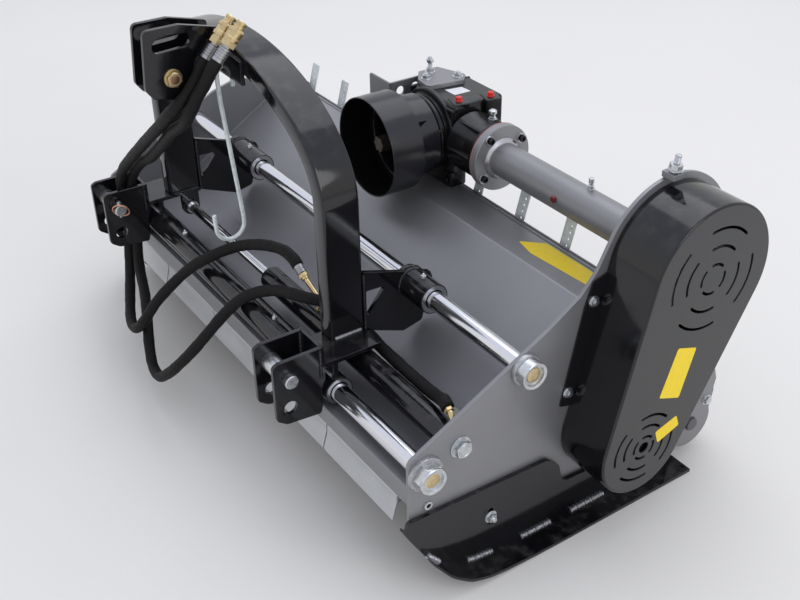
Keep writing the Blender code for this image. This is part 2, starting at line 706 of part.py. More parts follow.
def gearbox_bracket():
    top = slab("gearbox_bracket", [[(-0.133, 0.332), (-0.095, 0.304), (-0.047, 0.297),
                                    (-0.032, 0.388), (-0.058, 0.412), (-0.133, 0.385)]],
               (0.6303, 0.6420), "XY")
    side_line = rounded(((0.248, 0.500, 0.0), (0.400, 0.500, 0.0), (0.400, 0.633, 0.0),
                         (0.248, 0.633, 0.0)))
    holes = [circle((0.278, 0.609), 0.0105, 12), circle((0.319, 0.610), 0.0105, 12)]
    side = slab("bracket_side", [side_line] + holes, (-0.133, -0.128))
    weld(top, side, block("bracket_front", (-0.213, 0.248, 0.500), (-0.130, 0.253, 0.633)))
    for x, y, height in ((-0.087, 0.322, 0.014), (-0.116, 0.353, 0.038), (-0.055, 0.388, 0.014)):
        weld(top, rod("bracket_bolt", 0.0105, (x, y, 0.641), (x, y, 0.642 + height), 6))
    finish(top, STEEL_GREY)


def input_guard():
    profile = [(GUARD_RADIUS, -0.118), (GUARD_RADIUS, -0.198), (0.097, -0.206),
               (0.092, -0.2557), (0.030, -0.2557), (0.030, -0.2520), (0.0890, -0.2520),
               (0.0935, -0.209), (0.110, -0.196), (0.110, -0.118)]
    guard = turned("pto_guard", profile, (GUARD_X, 0.0, DRIVE[1]), -Y_AXIS, 32, ring=True)
    notch = block("guard_notch", (-0.010, 0.216, -0.015), (0.010, 0.228, 0.015))
    reach = math.radians(37.6)
    notch.rotation_euler = (0.0, -reach, 0.0)
    notch.location = (GUARD_X + 0.092 * math.cos(reach), 0.222,
                      DRIVE[1] + 0.092 * math.sin(reach))
    cut(guard, notch)
    finish(guard, PLASTIC_BLACK)
    profile = [(0.0, -0.150), (INPUT_SHAFT - 0.002, -0.150), (INPUT_SHAFT, -0.152),
               (INPUT_SHAFT, -0.2557), (0.0, -0.2557)]
    finish(turned("input_shaft", profile, (GUARD_X, 0.0, DRIVE[1]), -Y_AXIS, 18), ZINC)


# Rake strips on a bar behind the hood

def rake():
    bar = block("rake_bar", (-BETWEEN, 0.3805, 0.342), (BETWEEN, 0.4005, 0.362))
    strip = sheet("rake_strip", RAKE_LINE,
                  (RAKE_FIRST - RAKE_WIDTH / 2, RAKE_FIRST + RAKE_WIDTH / 2), RAKE_THICK)
    row = strip.modifiers.new("row", "ARRAY")
    row.count = RAKE_COUNT
    row.use_relative_offset = False
    row.use_constant_offset = True
    row.constant_offset_displace = (RAKE_PITCH, 0.0, 0.0)
    weld(bar, strip)
    cut(bar, block("gearbox_relief", (-0.115, 0.320, 0.446), (0.083, 0.380, 0.510)),
        block("neck_relief", (0.082, 0.320, 0.470), (0.120, 0.380, 0.510)))
    finish(bar, ZINC)


# Headstock

def arch_curve(half, rise, count=10):
    right = [(HEAD_X + half * math.cos(a), ARCH_SPRING + rise * math.sin(a))
             for a in (math.pi * i / (2 * count) for i in range(count + 1))]
    left = [(2 * HEAD_X - x, z) for x, z in reversed(right[:-1])]
    return right + left


def headstock_arch():
    rise = ARCH_TOP - ARCH_SPRING
    outer = arch_curve(ARCH_HALF, rise)
    inner = arch_curve(ARCH_HALF - ARCH_WALL, rise - ARCH_WALL)
    loop = [(HEAD_X + ARCH_HALF, ARCH_FOOT)] + outer + [(HEAD_X - ARCH_HALF, ARCH_FOOT)]
    loop += [(HEAD_X - ARCH_HALF + ARCH_WALL, ARCH_FOOT)] + inner[::-1]
    loop += [(HEAD_X + ARCH_HALF - ARCH_WALL, ARCH_FOOT)]
    arch = slab("headstock_arch", [loop], (ARCH_FRONT, ARCH_REAR), "XZ")
    edges = arch.modifiers.new("tube_corners", "BEVEL")
    edges.width = 0.004
    edges.segments = 1
    edges.limit_method = "ANGLE"
    edges.angle_limit = math.radians(60)
    finish(arch, GLOSS_BLACK)


def top_link_clevis():
    line = rounded(((-0.357, 0.785, 0.012), (-0.348, 0.900, 0.012), (-0.276, 0.900, 0.010),
                    (-0.234, 0.882, 0.010), (-0.214, 0.787, 0.006), (-0.251, 0.744, 0.010),
                    (-0.343, 0.765, 0.012)))
    slot = rounded(((-0.333, 0.852, 0.0125), (-0.257, 0.856, 0.0125), (-0.257, 0.882, 0.0125),
                    (-0.333, 0.878, 0.0125)))
    bore = circle(TOP_BOLT, TOP_BOLT_RADIUS + RUNNING_FIT)
    plates = []
    for offset in CLEVIS_OFFSETS:
        x = HEAD_X + offset
        plates.append(slab("top_link_clevis", [line, slot, bore],
                           (x - CLEVIS_THICK / 2, x + CLEVIS_THICK / 2)))
    clevis, second = plates
    second.name = "clevis_plate"
    back = slab("clevis_back", [[(-0.113, 0.791), (0.050, 0.791), (0.050, 0.838),
                                 (-0.113, 0.848)], circle((-0.033, 0.8065), 0.0068, 12)],
                (ARCH_FRONT - 0.0083, ARCH_FRONT - GAP), "XZ")
    spacer = block("clevis_spacer", (HEAD_X - 0.024, -0.240, 0.795),
                   (HEAD_X + 0.024, ARCH_FRONT - 0.004, 0.840))
    clevis.name = "top_link_clevis"
    weld(clevis, second, spacer, back)
    finish(clevis, GLOSS_BLACK)


def top_link_bolt():
    low, high = HEAD_X + CLEVIS_OFFSETS[0] - 0.005, HEAD_X + CLEVIS_OFFSETS[1] + 0.005
    bolt = cross_rod("top_link_bolt", TOP_BOLT_RADIUS, TOP_BOLT, (low - 0.018, high + 0.003))
    weld(bolt, cross_rod("top_bolt_washer", 0.0185, TOP_BOLT, (high + GAP, high + 0.003)),
         hex_nut("top_bolt_head", 0.0165, TOP_BOLT, (high + 0.0025, high + 0.012)),
         hex_nut("top_bolt_nut", 0.0165, TOP_BOLT, (low - 0.013, low - GAP)))
    finish(bolt, YELLOW_ZINC)


def ear_loop():
    return rounded(((-0.351, 0.262, 0.012), (-0.351, 0.385, 0.012), (-0.338, 0.391, 0.0),
                    (-0.242, 0.391, 0.0), (-0.242, 0.318, 0.0), (-0.2495, 0.300, 0.0),
                    (-0.2495, 0.262, 0.0), (-0.256, 0.240, 0.006), (-0.330, 0.247, 0.015)))


def hitch_bracket(name, side):
    centres = [HEAD_X + side * EAR_INNER, HEAD_X + side * EAR_OUTER]
    half = EAR_THICK / 2
    holes = [circle(PIN, PIN_RADIUS + RUNNING_FIT), circle((-0.320, 0.283), 0.0140)]
    inner_ear = slab(name, [ear_loop()] + holes, (centres[0] - half, centres[0] + half))
    outer_ear = slab(name + "_outer_ear", [ear_loop()] + holes,
                     (centres[1] - half, centres[1] + half))
    inside = HEAD_X + side * (ARCH_HALF - ARCH_WALL)
    outside = centres[1] + side * half
    low, high = sorted((inside, outside))
    back = block(name + "_back", (min(centres), -0.2500, 0.320), (max(centres), -0.2425, 0.391))
    foot = block(name + "_foot", (low, -0.2480, 0.3420), (high, ARCH_REAR, ARCH_FOOT - GAP))
    saddle = block(name + "_saddle", (low, -0.225, LOWER_BAR[1] + LOWER_CARRIER_RADIUS + GAP),
                   (high, -0.213, 0.344))
    weld(inner_ear, outer_ear, back, foot, saddle)
    return inner_ear


def hitch_brackets():
    finish(hitch_bracket("hitch_bracket_drive", 1), GLOSS_BLACK)
    idle = hitch_bracket("hitch_bracket_idle", -1)
    lug_line = [(-0.164, 0.346), (-0.120, 0.346)] + arc(CYLINDER, 0.022, 0.0, -180.0, 8)
    eye = HEAD_X - EAR_INNER
    lug = slab("cylinder_lug", [lug_line, circle(CYLINDER, ROD_RADIUS + RUNNING_FIT)],
               (eye + 0.005, eye + 0.017))
    finish(weld(idle, lug), GLOSS_BLACK)


def slide_carrier(name, plate_span, bush_span):
    line = rounded(((ARCH_REAR + GAP, 0.480, 0.0), (0.045, 0.428, 0.008), (0.050, 0.414, 0.006),
                    (0.0235, 0.318, 0.010), (-0.0225, 0.308, 0.008), (ARCH_REAR + GAP, 0.345, 0.0)))
    window = [(-0.108, 0.434), (-0.068, 0.432), (-0.068, 0.424), (-0.108, 0.374)]
    bore = circle(UPPER_BAR, BAR_RADIUS + RUNNING_FIT)
    plate = slab(name, [line, window, bore], plate_span)
    low, high = bush_span
    ring = [(UPPER_CARRIER_RADIUS, high), (UPPER_CARRIER_RADIUS, low),
            (BAR_RADIUS + RUNNING_FIT, low), (BAR_RADIUS + RUNNING_FIT, high)]
    weld(plate, cross_turned(name + "_bush", ring, UPPER_BAR, ring=True))
    finish(plate, GLOSS_BLACK)


def slide_carriers():
    right, left = HEAD_X + ARCH_HALF, HEAD_X - ARCH_HALF
    slide_carrier("slide_carrier_drive", (right - 0.010, right), (right - 0.021, right + 0.077))
    slide_carrier("slide_carrier_idle", (left + 0.030, left + 0.040), (left + 0.017, left + 0.154))
    right, left = right + 0.069, left - 0.063
    ring = [(LOWER_CARRIER_RADIUS, right), (LOWER_CARRIER_RADIUS, left),
            (BAR_RADIUS + RUNNING_FIT, left), (BAR_RADIUS + RUNNING_FIT, right)]
    finish(cross_turned("lower_slide_tube", ring, LOWER_BAR, ring=True), GLOSS_BLACK)


def hitch_pin(name, side):
    """Pin with its spacer bush; the head is outside, the spring clip inside."""
    def place(reach):
        return HEAD_X + side * reach
    inner, outer = EAR_INNER + EAR_THICK / 2 + GAP, EAR_OUTER - EAR_THICK / 2 - GAP
    head, tail = EAR_OUTER + 0.019, EAR_INNER - 0.025
    ends = [(0.0, head), (PIN_RADIUS - 0.001, head), (PIN_RADIUS, head - 0.001),
            (PIN_RADIUS, outer), (PIN_BUSH_RADIUS, outer), (PIN_BUSH_RADIUS, inner),
            (PIN_RADIUS, inner), (PIN_RADIUS, tail + 0.001), (PIN_RADIUS - 0.001, tail),
            (0.0, tail)]
    profile = [(radius, place(reach)) for radius, reach in ends]
    if side < 0:
        profile.reverse()
    pin = cross_turned(name, profile, PIN, 18)
    clip = Vector((place(EAR_INNER - 0.0155), *PIN))
    cut(pin, rod(name + "_clip_hole", 0.0038, clip - Z_AXIS * 0.020, clip + Z_AXIS * 0.020, 8))
    finish(pin, ZINC)
    return clip


def linch_ring(name, clip, side):
    pin = rod(name, 0.0035, clip - Z_AXIS * 0.021, clip + Z_AXIS * 0.022, 8)
    wire = [(0.0195 + 0.0018 * math.cos(a), 0.0018 * math.sin(a))
            for a in (-2 * math.pi * i / 6 for i in range(6))]
    tilt = Matrix.Rotation(side * math.radians(22), 3, "Y") @ X_AXIS
    centre = clip + Vector((-side * 0.0072, 0.0, 0.001))
    weld(pin, turned(name + "_ring", wire, centre, tilt, 16, ring=True))
    finish(pin, COPPER)


def hitch_pins():
    for end, side in (("drive", 1), ("idle", -1)):
        clip = hitch_pin("hitch_pin_" + end, side)
        linch_ring("linch_ring_" + end, clip, side)


def hose_hook():
    """S-hook of round wire that hangs in the clevis back plate."""
    x, radius = -0.033, 0.0045
    pivot = Vector((x, ARCH_FRONT - 0.0043, 0.8054))
    crook = arc((0.0, -0.016), 0.016, 0.0, 180.0, 8)
    line = [(0.016, -0.045)] + crook + [(-0.0145, -0.070), (0.010, -0.345)]
    line += arc((-0.022, -0.348), 0.032, 0.0, -180.0, 10)
    line += [(-0.056, -0.315)]
    wire = tube("hose_hook", [(0.0, y, z) for y, z in line], radius, 1)
    wire.location = pivot
    finish(wire, ZINC)


# Side-shift cylinder between the far slide and the drive plate

def side_cylinder():
    mouth = -0.026
    profile = [(0.0, FACE + 0.022), (0.010, FACE + 0.022), (0.010, BETWEEN),
               (BARREL_RADIUS, BETWEEN), (BARREL_RADIUS, mouth + 0.004),
               (BARREL_RADIUS - 0.003, mouth), (ROD_RADIUS + RUNNING_FIT, mouth),
               (ROD_RADIUS + RUNNING_FIT, 0.480), (0.0, 0.480)]
    barrel = cross_turned("cylinder_barrel", profile, CYLINDER)
    weld(barrel, cross_rod("barrel_washer", 0.020, CYLINDER, (FACE, FACE + 0.004)),
         hex_nut("barrel_nut", 0.0165, CYLINDER, (FACE + 0.003, FACE + 0.015)))
    finish(barrel, GLOSS_BLACK)
    eye = HEAD_X - EAR_INNER
    piston = cross_rod("cylinder_rod", ROD_RADIUS, CYLINDER, (eye - 0.011, 0.160))
    weld(piston, hex_nut("rod_nut", 0.0170, CYLINDER, (eye - 0.0080, eye + 0.0047)),
         cross_rod("rod_collar", 0.0150, CYLINDER, (eye + 0.0173, eye + 0.0250)))
    finish(piston, CHROME)
    top = CYLINDER[1] + BARREL_RADIUS + GAP
    for name, line in (("cylinder_elbow_a", ((0.195, -0.142, top), (0.195, -0.142, 0.348),
                                             (0.183, -0.142, 0.362), (0.130, -0.1455, 0.396),
                                             (0.1165, -0.146, 0.4045))),
                       ("cylinder_elbow_b", ((0.655, -0.142, top), (0.655, -0.142, 0.350),
                                             (0.648, -0.141, 0.359), (0.634, -0.138, 0.363)))):
        finish(tube(name, line, 0.009), BRASS)


# Quick couplers and hoses

COUPLER_A = (Vector((-0.015, -0.2406, 0.8337)), Vector((-0.015, -0.1776, 0.9047)))
COUPLER_B = (Vector((0.040, -0.243, 0.846)), Vector((0.040, -0.183, 0.910)))
ELBOW_A_FACE = Vector((0.1165, -0.146, 0.4045))
ELBOW_A_WAY = Vector((-0.0135, -0.0005, 0.0085)).normalized()
ELBOW_B_FACE = Vector((0.634, -0.138, 0.363))
ELBOW_B_WAY = Vector((-0.014, 0.003, 0.004)).normalized()

HOSE_A = ((-0.020, -0.261, 0.799), (-0.024, -0.280, 0.772), (-0.026, -0.301, 0.753),
          (-0.060, -0.312, 0.721), (-0.126, -0.312, 0.670), (-0.224, -0.307, 0.602),
          (-0.390, -0.300, 0.481), (-0.449, -0.296, 0.429), (-0.484, -0.290, 0.385),
          (-0.503, -0.281, 0.340), (-0.503, -0.279, 0.285), (-0.493, -0.291, 0.225),
          (-0.455, -0.313, 0.168), (-0.390, -0.345, 0.133), (-0.325, -0.372, 0.119),
          (-0.272, -0.381, 0.125), (-0.236, -0.371, 0.160), (-0.213, -0.342, 0.215),
          (-0.195, -0.300, 0.262), (-0.163, -0.270, 0.305), (-0.128, -0.242, 0.338),
          (-0.104, -0.213, 0.358), (-0.078, -0.188, 0.374), (-0.038, -0.169, 0.391),
          (0.015, -0.156, 0.408), (0.064, -0.148, 0.417))
HOSE_B = ((0.020, -0.264, 0.799), (0.010, -0.277, 0.774), (-0.001, -0.289, 0.744),
          (-0.036, -0.293, 0.706), (-0.098, -0.292, 0.667), (-0.165, -0.288, 0.617),
          (-0.278, -0.281, 0.536), (-0.340, -0.275, 0.503), (-0.432, -0.269, 0.438),
          (-0.470, -0.270, 0.385), (-0.474, -0.270, 0.325),
          (-0.474, -0.272, 0.262), (-0.460, -0.284, 0.212), (-0.412, -0.302, 0.184),
          (-0.340, -0.324, 0.163), (-0.274, -0.350, 0.134), (-0.226, -0.371, 0.099),
          (-0.182, -0.385, 0.072), (-0.130, -0.390, 0.075), (-0.080, -0.385, 0.113),
          (-0.040, -0.374, 0.155), (-0.010, -0.349, 0.200), (0.006, -0.316, 0.242),
          (0.018, -0.283, 0.280), (0.036, -0.250, 0.316), (0.066, -0.218, 0.341),
          (0.116, -0.193, 0.361), (0.174, -0.178, 0.373), (0.222, -0.146, 0.371),
          (0.250, -0.108, 0.348), (0.282, -0.095, 0.325), (0.320, -0.096, 0.319),
          (0.360, -0.100, 0.319), (0.440, -0.104, 0.321), (0.520, -0.106, 0.323),
          (0.580, -0.116, 0.340))


def coupler(name, ends):
    foot, nose = ends
    reach = (nose - foot).length
    neck = 0.034
    profile = [(0.0, reach), (0.0105, reach), (0.0105, reach - 0.014), (0.0145, reach - 0.016),
               (0.0145, reach - 0.036), (0.0160, reach - 0.038), (0.0160, neck + 0.003),
               (FERRULE_RADIUS, neck), (FERRULE_RADIUS, 0.0), (0.0, 0.0)]
    finish(turned(name, profile, foot, nose - foot, 14), BRASS)


def hose(name, ends, route, face, way):
    foot, nose = ends
    back = (foot - nose).normalized()
    free = smooth_route([foot + back * HOSE_STUB, *route, face + way * HOSE_STUB], HOSE_PITCH)
    line = [foot + back * GAP, *free, face + way * GAP]
    finish(tube(name, line, HOSE_RADIUS), SLEEVE_BLACK)


def hoses():
    coupler("coupler_a", COUPLER_A)
    coupler("coupler_b", COUPLER_B)
    hose("hose_a", COUPLER_A, HOSE_A, ELBOW_A_FACE, ELBOW_A_WAY)
    hose("hose_b", COUPLER_B, HOSE_B, ELBOW_B_FACE, ELBOW_B_WAY)


def centre_on_ground():
    """Move the machine frame so that all but the free hoses is centred over the origin."""
    free = ("hose_a", "hose_b", "coupler_a", "coupler_b")
    bpy.context.view_layer.update()
    depsgraph = bpy.context.evaluated_depsgraph_get()
    corners = []
    for piece in PARTS.objects:
        if piece.type == "MESH" and piece.name not in free:
            shown = piece.evaluated_get(depsgraph)
            corners += [piece.matrix_world @ Vector(corner) for corner in shown.bound_box]
    for axis in (0, 1):
        values = [corner[axis] for corner in corners]
        FRAME.location[axis] = -(min(values) + max(values)) / 2


side_plates()
hood()
slide_bars()
front_beam()
front_flaps()
skids()
rear_roller()
rotor()
hammers()
rotor_bearings()
belt_drive()
belt_cover()
tensioner()
drive_line()
gearbox()
gearbox_bracket()
input_guard()
rake()
headstock_arch()
top_link_clevis()
top_link_bolt()
hitch_brackets()
slide_carriers()
hitch_pins()
hose_hook()
side_cylinder()
hoses()
centre_on_ground()
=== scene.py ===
"""Looks of the tractor mulcher: finished pieces, finishes, hoses and a plain studio."""

import math

import bmesh
import bpy
from bpy.props import FloatProperty, FloatVectorProperty, IntProperty, PointerProperty
from mathutils import Matrix, Vector


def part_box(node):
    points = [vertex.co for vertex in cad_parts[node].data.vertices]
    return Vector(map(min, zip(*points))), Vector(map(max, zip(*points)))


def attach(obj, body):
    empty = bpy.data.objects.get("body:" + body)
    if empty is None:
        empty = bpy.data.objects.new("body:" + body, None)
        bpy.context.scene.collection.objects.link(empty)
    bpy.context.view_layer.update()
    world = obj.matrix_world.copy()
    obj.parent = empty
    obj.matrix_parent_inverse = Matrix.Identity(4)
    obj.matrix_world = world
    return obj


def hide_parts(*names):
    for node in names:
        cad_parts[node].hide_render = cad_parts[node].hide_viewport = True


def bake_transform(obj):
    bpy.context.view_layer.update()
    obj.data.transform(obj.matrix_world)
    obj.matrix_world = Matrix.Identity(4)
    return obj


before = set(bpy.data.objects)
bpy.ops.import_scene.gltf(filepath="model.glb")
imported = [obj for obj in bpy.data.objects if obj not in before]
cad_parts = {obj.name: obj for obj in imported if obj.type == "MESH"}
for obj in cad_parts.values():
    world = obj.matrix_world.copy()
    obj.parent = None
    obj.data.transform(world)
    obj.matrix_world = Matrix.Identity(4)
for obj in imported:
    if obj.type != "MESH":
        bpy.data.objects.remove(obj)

bl_info = {
    "name": "Tractor mulcher looks",
    "version": (1, 0, 0),
    "blender": (4, 5, 0),
    "location": "3D View > Sidebar > Mulcher",
    "description": "Finished pieces and materials on the packed mulcher",
    "category": "Object",
}

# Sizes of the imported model, in metres: x from its middle, y from the upper bar, z from the floor
GAP = 0.0003
PLATE_IN = 0.669
PLATE_OUT = 0.677
FACE = PLATE_OUT + GAP
BETWEEN = PLATE_IN - GAP
UPPER_BAR = (0.0, 0.4165)
LOWER_BAR = (-0.219, 0.283)
CYLINDER = (-0.142, 0.306)
DRIVE = (0.331, 0.5456)
ROTOR = (0.205, 0.2147)
ROLLER = (0.47, 0.0755)
FLAP_ROD = (-0.236, 0.197)
BAR_RADIUS = 0.019
HEAD_X = -0.073
ARCH_HALF = 0.394
ARCH_WALL = 0.04
ARCH_SPRING = 0.632
ARCH_TOP = 0.857
ARCH_FOOT = 0.352
ARCH_FRONT = -0.194
ARCH_REAR = -0.114
EAR_THICK = 0.009
EAR_INNER = 0.374
EAR_OUTER = 0.449
PIN = (-0.32, 0.35)
TOP_BOLT = (-0.3, 0.7996)
TUBE_RADIUS = 0.038
FLANGE_RADIUS = 0.0746
FLANGE_X = 0.1663
GUARD_X = -0.028
NOTCH_DEGREES = 37.6
COVER_X = (0.678, 0.7955)
COVER_WALL = 0.003
COVER_TOP = 0.148
COVER_LOW = 0.104
HOOD_THICK = 0.004
HOOD_LINE = ((-0.187, 0.227), (-0.05, 0.262), (0.218, 0.43), (0.32, 0.43), (0.405, 0.275),
    (0.422, 0.165))
BEAM_Y = (-0.246, -0.19)
BEAM_Z = (0.206, 0.249)
FLAP_COUNT = 5
FLAP_PITCH = 0.25
RAKE_COUNT = 9
RAKE_PITCH = 0.15
RAKE_FIRST = -0.65
RAKE_LINE = ((0.353, 0.492), (0.3335, 0.4215), (0.42, 0.278), (0.436, 0.185))
BARREL_RADIUS = 0.026
ROD_RADIUS = 0.011
HOSE_RADIUS = 0.012
SIDES = (("drive", 1), ("idle", -1))
INPUT = (GUARD_X, DRIVE[1])
INPUT_MIDDLE = (GUARD_X, 0.0, DRIVE[1])

X_AXIS = Vector((1.0, 0.0, 0.0))
Y_AXIS = Vector((0.0, 1.0, 0.0))
Z_AXIS = Vector((0.0, 0.0, 1.0))
FACING = {"XY": Matrix.Identity(4), "XZ": Matrix.Rotation(math.pi / 2, 4, "X"),
    "YZ": Matrix.Rotation(math.pi / 2, 4, "Z") @ Matrix.Rotation(math.pi / 2, 4, "X")}


def machine_origin():
    """Where the machine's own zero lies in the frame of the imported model."""
    hood_low, hood_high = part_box("hood_shell")
    bar_low, bar_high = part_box("upper_slide_bar")
    return Vector(((hood_low.x + hood_high.x) / 2, (bar_low.y + bar_high.y) / 2, 0.0))


ORIGIN = machine_origin()
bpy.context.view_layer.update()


# Settings that a user would change

class MulcherSizes(bpy.types.PropertyGroup):
    plate_edge: FloatProperty(name="Plate edge",
        description="Rounding along the edges of cut plates", default=0.0009, min=0.0002,
        max=0.003, unit="LENGTH")
    arch_corner: FloatProperty(name="Arch corner", description="Corner radius of the arch tube",
        default=0.007, min=0.001, max=0.015, unit="LENGTH")
    cover_corner: FloatProperty(name="Cover corner",
        description="Rounding round the face of the belt cover", default=0.0045, min=0.002,
        max=0.01, unit="LENGTH")
    weld_bead: FloatProperty(name="Weld bead", description="Radius of the weld beads",
        default=0.0032, min=0.001, max=0.006, unit="LENGTH")
    strip_hole: FloatProperty(name="Strip hole",
        description="Radius of the holes in the rake strips", default=0.0024, min=0.001, max=0.004,
        unit="LENGTH")
    sleeve_wave: FloatProperty(name="Sleeve wave",
        description="How far the woven sleeve swells and narrows", default=0.0005, min=0.0,
        max=0.001, unit="LENGTH")
    turning_steps: IntProperty(name="Turning steps", description="Steps round a turned form",
        default=64, min=24, max=128)


def colour_setting(name, description, colour):
    return FloatVectorProperty(name=name, description=description, default=colour, subtype="COLOR",
        min=0.0, max=1.0)


class MulcherColours(bpy.types.PropertyGroup):
    gloss_black: colour_setting("Gloss black", "Paint of headstock and skids",
        (0.0055, 0.0055, 0.007))
    steel_grey: colour_setting("Steel grey", "Paint of hood, plates and tube",
        (0.285, 0.285, 0.295))
    chrome: colour_setting("Chrome", "Slide bars and piston rod", (0.8, 0.81, 0.84))
    zinc: colour_setting("Zinc", "Plated fasteners", (0.66, 0.68, 0.69))
    galvanised: colour_setting("Galvanised", "Rake strips and hook", (0.66, 0.71, 0.7))
    yellow_zinc: colour_setting("Yellow zinc", "Top link bolt", (0.66, 0.52, 0.3))
    brass: colour_setting("Brass", "Couplers and oil fittings", (0.66, 0.52, 0.28))
    copper: colour_setting("Copper", "Linch ring", (0.72, 0.38, 0.24))
    casting: colour_setting("Casting", "Painted gearbox casting", (0.007, 0.007, 0.008))
    plastic: colour_setting("Plastic", "Guard round the input shaft", (0.01, 0.01, 0.013))
    sleeve: colour_setting("Sleeve", "Woven sleeve on the hoses", (0.005, 0.0048, 0.0049))
    rubber: colour_setting("Rubber", "Drive belt", (0.022, 0.022, 0.022))
    forged: colour_setting("Forged steel", "Hammers and rotor", (0.12, 0.105, 0.09))
    plug_red: colour_setting("Plug red", "Plastic plugs", (0.72, 0.02, 0.015))
    patch_yellow: colour_setting("Patch yellow", "Bare patches", (0.9, 0.66, 0.01))
    label_white: colour_setting("Label white", "Bare label", (0.78, 0.79, 0.8))
    gasket: colour_setting("Gasket", "Gasket at the tube flange", (0.6, 0.16, 0.1))
    floor: colour_setting("Floor", "Plain pale floor", (0.8, 0.785, 0.74))


def sizes():
    return bpy.context.scene.mulcher_sizes


def tint(name):
    """A colour as it is set in the panel."""
    return tuple(getattr(bpy.context.scene.mulcher_colours, name))


# Outlines

def arc(centre, radius, start, end, count):
    """Points from start to end in degrees, both included."""
    points = []
    for i in range(count + 1):
        angle = math.radians(start + (end - start) * i / count)
        points.append((centre[0] + radius * math.cos(angle), centre[1] + radius * math.sin(angle)))
    return points


def spot(centre, radius, degrees):
    """One point of a circle."""
    return arc(centre, radius, degrees, degrees, 1)[0]


def circle(centre, radius, count=48):
    return arc(centre, radius, 0.0, 360.0, count)[:-1]


def rounded(corners, open_line=False):
    """Outline from (u, v, corner radius) points; the ends of an open line stay sharp."""
    loop = []
    last = len(corners) - 1
    for i, corner in enumerate(corners):
        u, v = corner[:2]
        radius = corner[2] if len(corner) > 2 else 0.0
        if radius == 0.0 or (open_line and i in (0, last)):
            loop.append((u, v))
            continue
        here = Vector((u, v))
        back = Vector(corners[i - 1][:2]) - here
        ahead = Vector(corners[(i + 1) % len(corners)][:2]) - here
        before, after = back.normalized(), ahead.normalized()
        half = before.angle(after) / 2
        if half > 1.55:
            loop.append((u, v))
            continue
        radius = min(radius, 0.45 * min(back.length, ahead.length) * math.tan(half))
        centre = here + (before + after).normalized() * (radius / math.sin(half))
        start = here + before * (radius / math.tan(half)) - centre
        end = here + after * (radius / math.tan(half)) - centre
        first = math.degrees(math.atan2(start.y, start.x))
        sweep = math.degrees(math.atan2(start.x * end.y - start.y * end.x, start.dot(end)))
        loop.extend(arc(centre, radius, first, first + sweep, max(2, round(abs(sweep) / 9))))
    return loop


def eased(points, radius):
    """Open line with every inner corner rounded by the same radius."""
    return rounded([(u, v, radius) for u, v in points], open_line=True)


def ribbon(line, thickness):
    """Closed outline of a sheet whose middle follows a (u, v) line."""
    points = [Vector(point) for point in line]
    left, right = [], []
    for i, here in enumerate(points):
        after = (points[min(i + 1, len(points) - 1)] - here)
        before = (here - points[max(i - 1, 0)])
        after = after.normalized() if after.length else before.normalized()
        before = before.normalized() if before.length else after
        along = (before + after).normalized()
        across = Vector((-along.y, along.x)) * (thickness / 2 / max(along.dot(after), 0.4))
        left.append(tuple(here + across))
        right.append(tuple(here - across))
    return left + right[::-1]


def belt_line(top_radius, low_radius, count=80):
    """Outline round the two pulley centres with straight sides."""
    reach = Vector(DRIVE) - Vector(ROTOR)
    lean = math.degrees(math.atan2(reach.y, reach.x))
    side = math.degrees(math.acos((low_radius - top_radius) / reach.length))
    top = arc(DRIVE, top_radius, lean - side, lean + side, count)
    low = arc(ROTOR, low_radius, lean + side, lean + 360 - side, count - 10)
    return top + low


def arch_curve(half, rise, count=44):
    """Upper half of the arch, from its right side to its left."""
    right = [(HEAD_X + half * math.cos(a), ARCH_SPRING + rise * math.sin(a))
        for a in (math.pi * i / (2 * count) for i in range(count + 1))]
    left = [(2 * HEAD_X - x, z) for x, z in reversed(right[:-1])]
    return right + left


def smooth_route(points, pitch):
    """Points a pitch apart along a Catmull-Rom curve through the route points."""
    route = [Vector(p) for p in points]
    ends = [2 * route[0] - route[1]] + route + [2 * route[-1] - route[-2]]
    fine = []
    for before, start, end, after in zip(ends, ends[1:], ends[2:], ends[3:]):
        for step in range(8):
            t = step / 8
            fine.append(0.5 * (2 * start + (end - before) * t + (2 * before - 5 * start
                + 4 * end - after) * t ** 2 + (3 * start - before - 3 * end + after) * t ** 3))
    fine.append(route[-1])
    return evenly(fine, pitch)


def evenly(points, pitch):
    """Points a pitch apart along straight runs."""
    fine = [Vector(p) for p in points]
    reach = [0.0]
    for start, end in zip(fine, fine[1:]):
        reach.append(reach[-1] + (end - start).length)
    count = max(1, round(reach[-1] / pitch))
    line, step = [], 0
    for i in range(count + 1):
        target = reach[-1] * i / count
        while step < len(fine) - 2 and reach[step + 1] < target:
            step += 1
        share = (target - reach[step]) / max(reach[step + 1] - reach[step], 1e-9)
        line.append(fine[step].lerp(fine[step + 1], min(share, 1.0)))
    return line


# Forms: each returns a bmesh in the machine's own frame

def moved(form, matrix):
    bmesh.ops.transform(form, matrix=matrix, verts=form.verts)
    return form


def set_at(form, place, angle, axis):
    """The form turned about an axis and carried to its place."""
    return moved(form, Matrix.Translation(place) @ Matrix.Rotation(angle, 4, axis))


def settled(form, matrix=Matrix.Identity(4)):
    """The form with merged corners and its faces turned outwards."""
    bmesh.ops.remove_doubles(form, verts=form.verts, dist=0.000001)
    bmesh.ops.recalc_face_normals(form, faces=form.faces)
    return moved(form, matrix)


def aimed(origin, direction, roll=0.0):
    """Places a form made along Z at the origin, along the direction."""
    turn = Vector(direction).to_track_quat("Z", "Y").to_matrix().to_4x4()
    return Matrix.Translation(Vector(origin)) @ turn @ Matrix.Rotation(math.radians(roll), 4, "Z")


def bevelled(form, edges, offset, segments=2, clamp=False):
    bmesh.ops.bevel(form, geom=edges, offset=offset, offset_type="OFFSET", affect="EDGES",
        segments=segments, profile=0.5, material=-1, clamp_overlap=clamp)


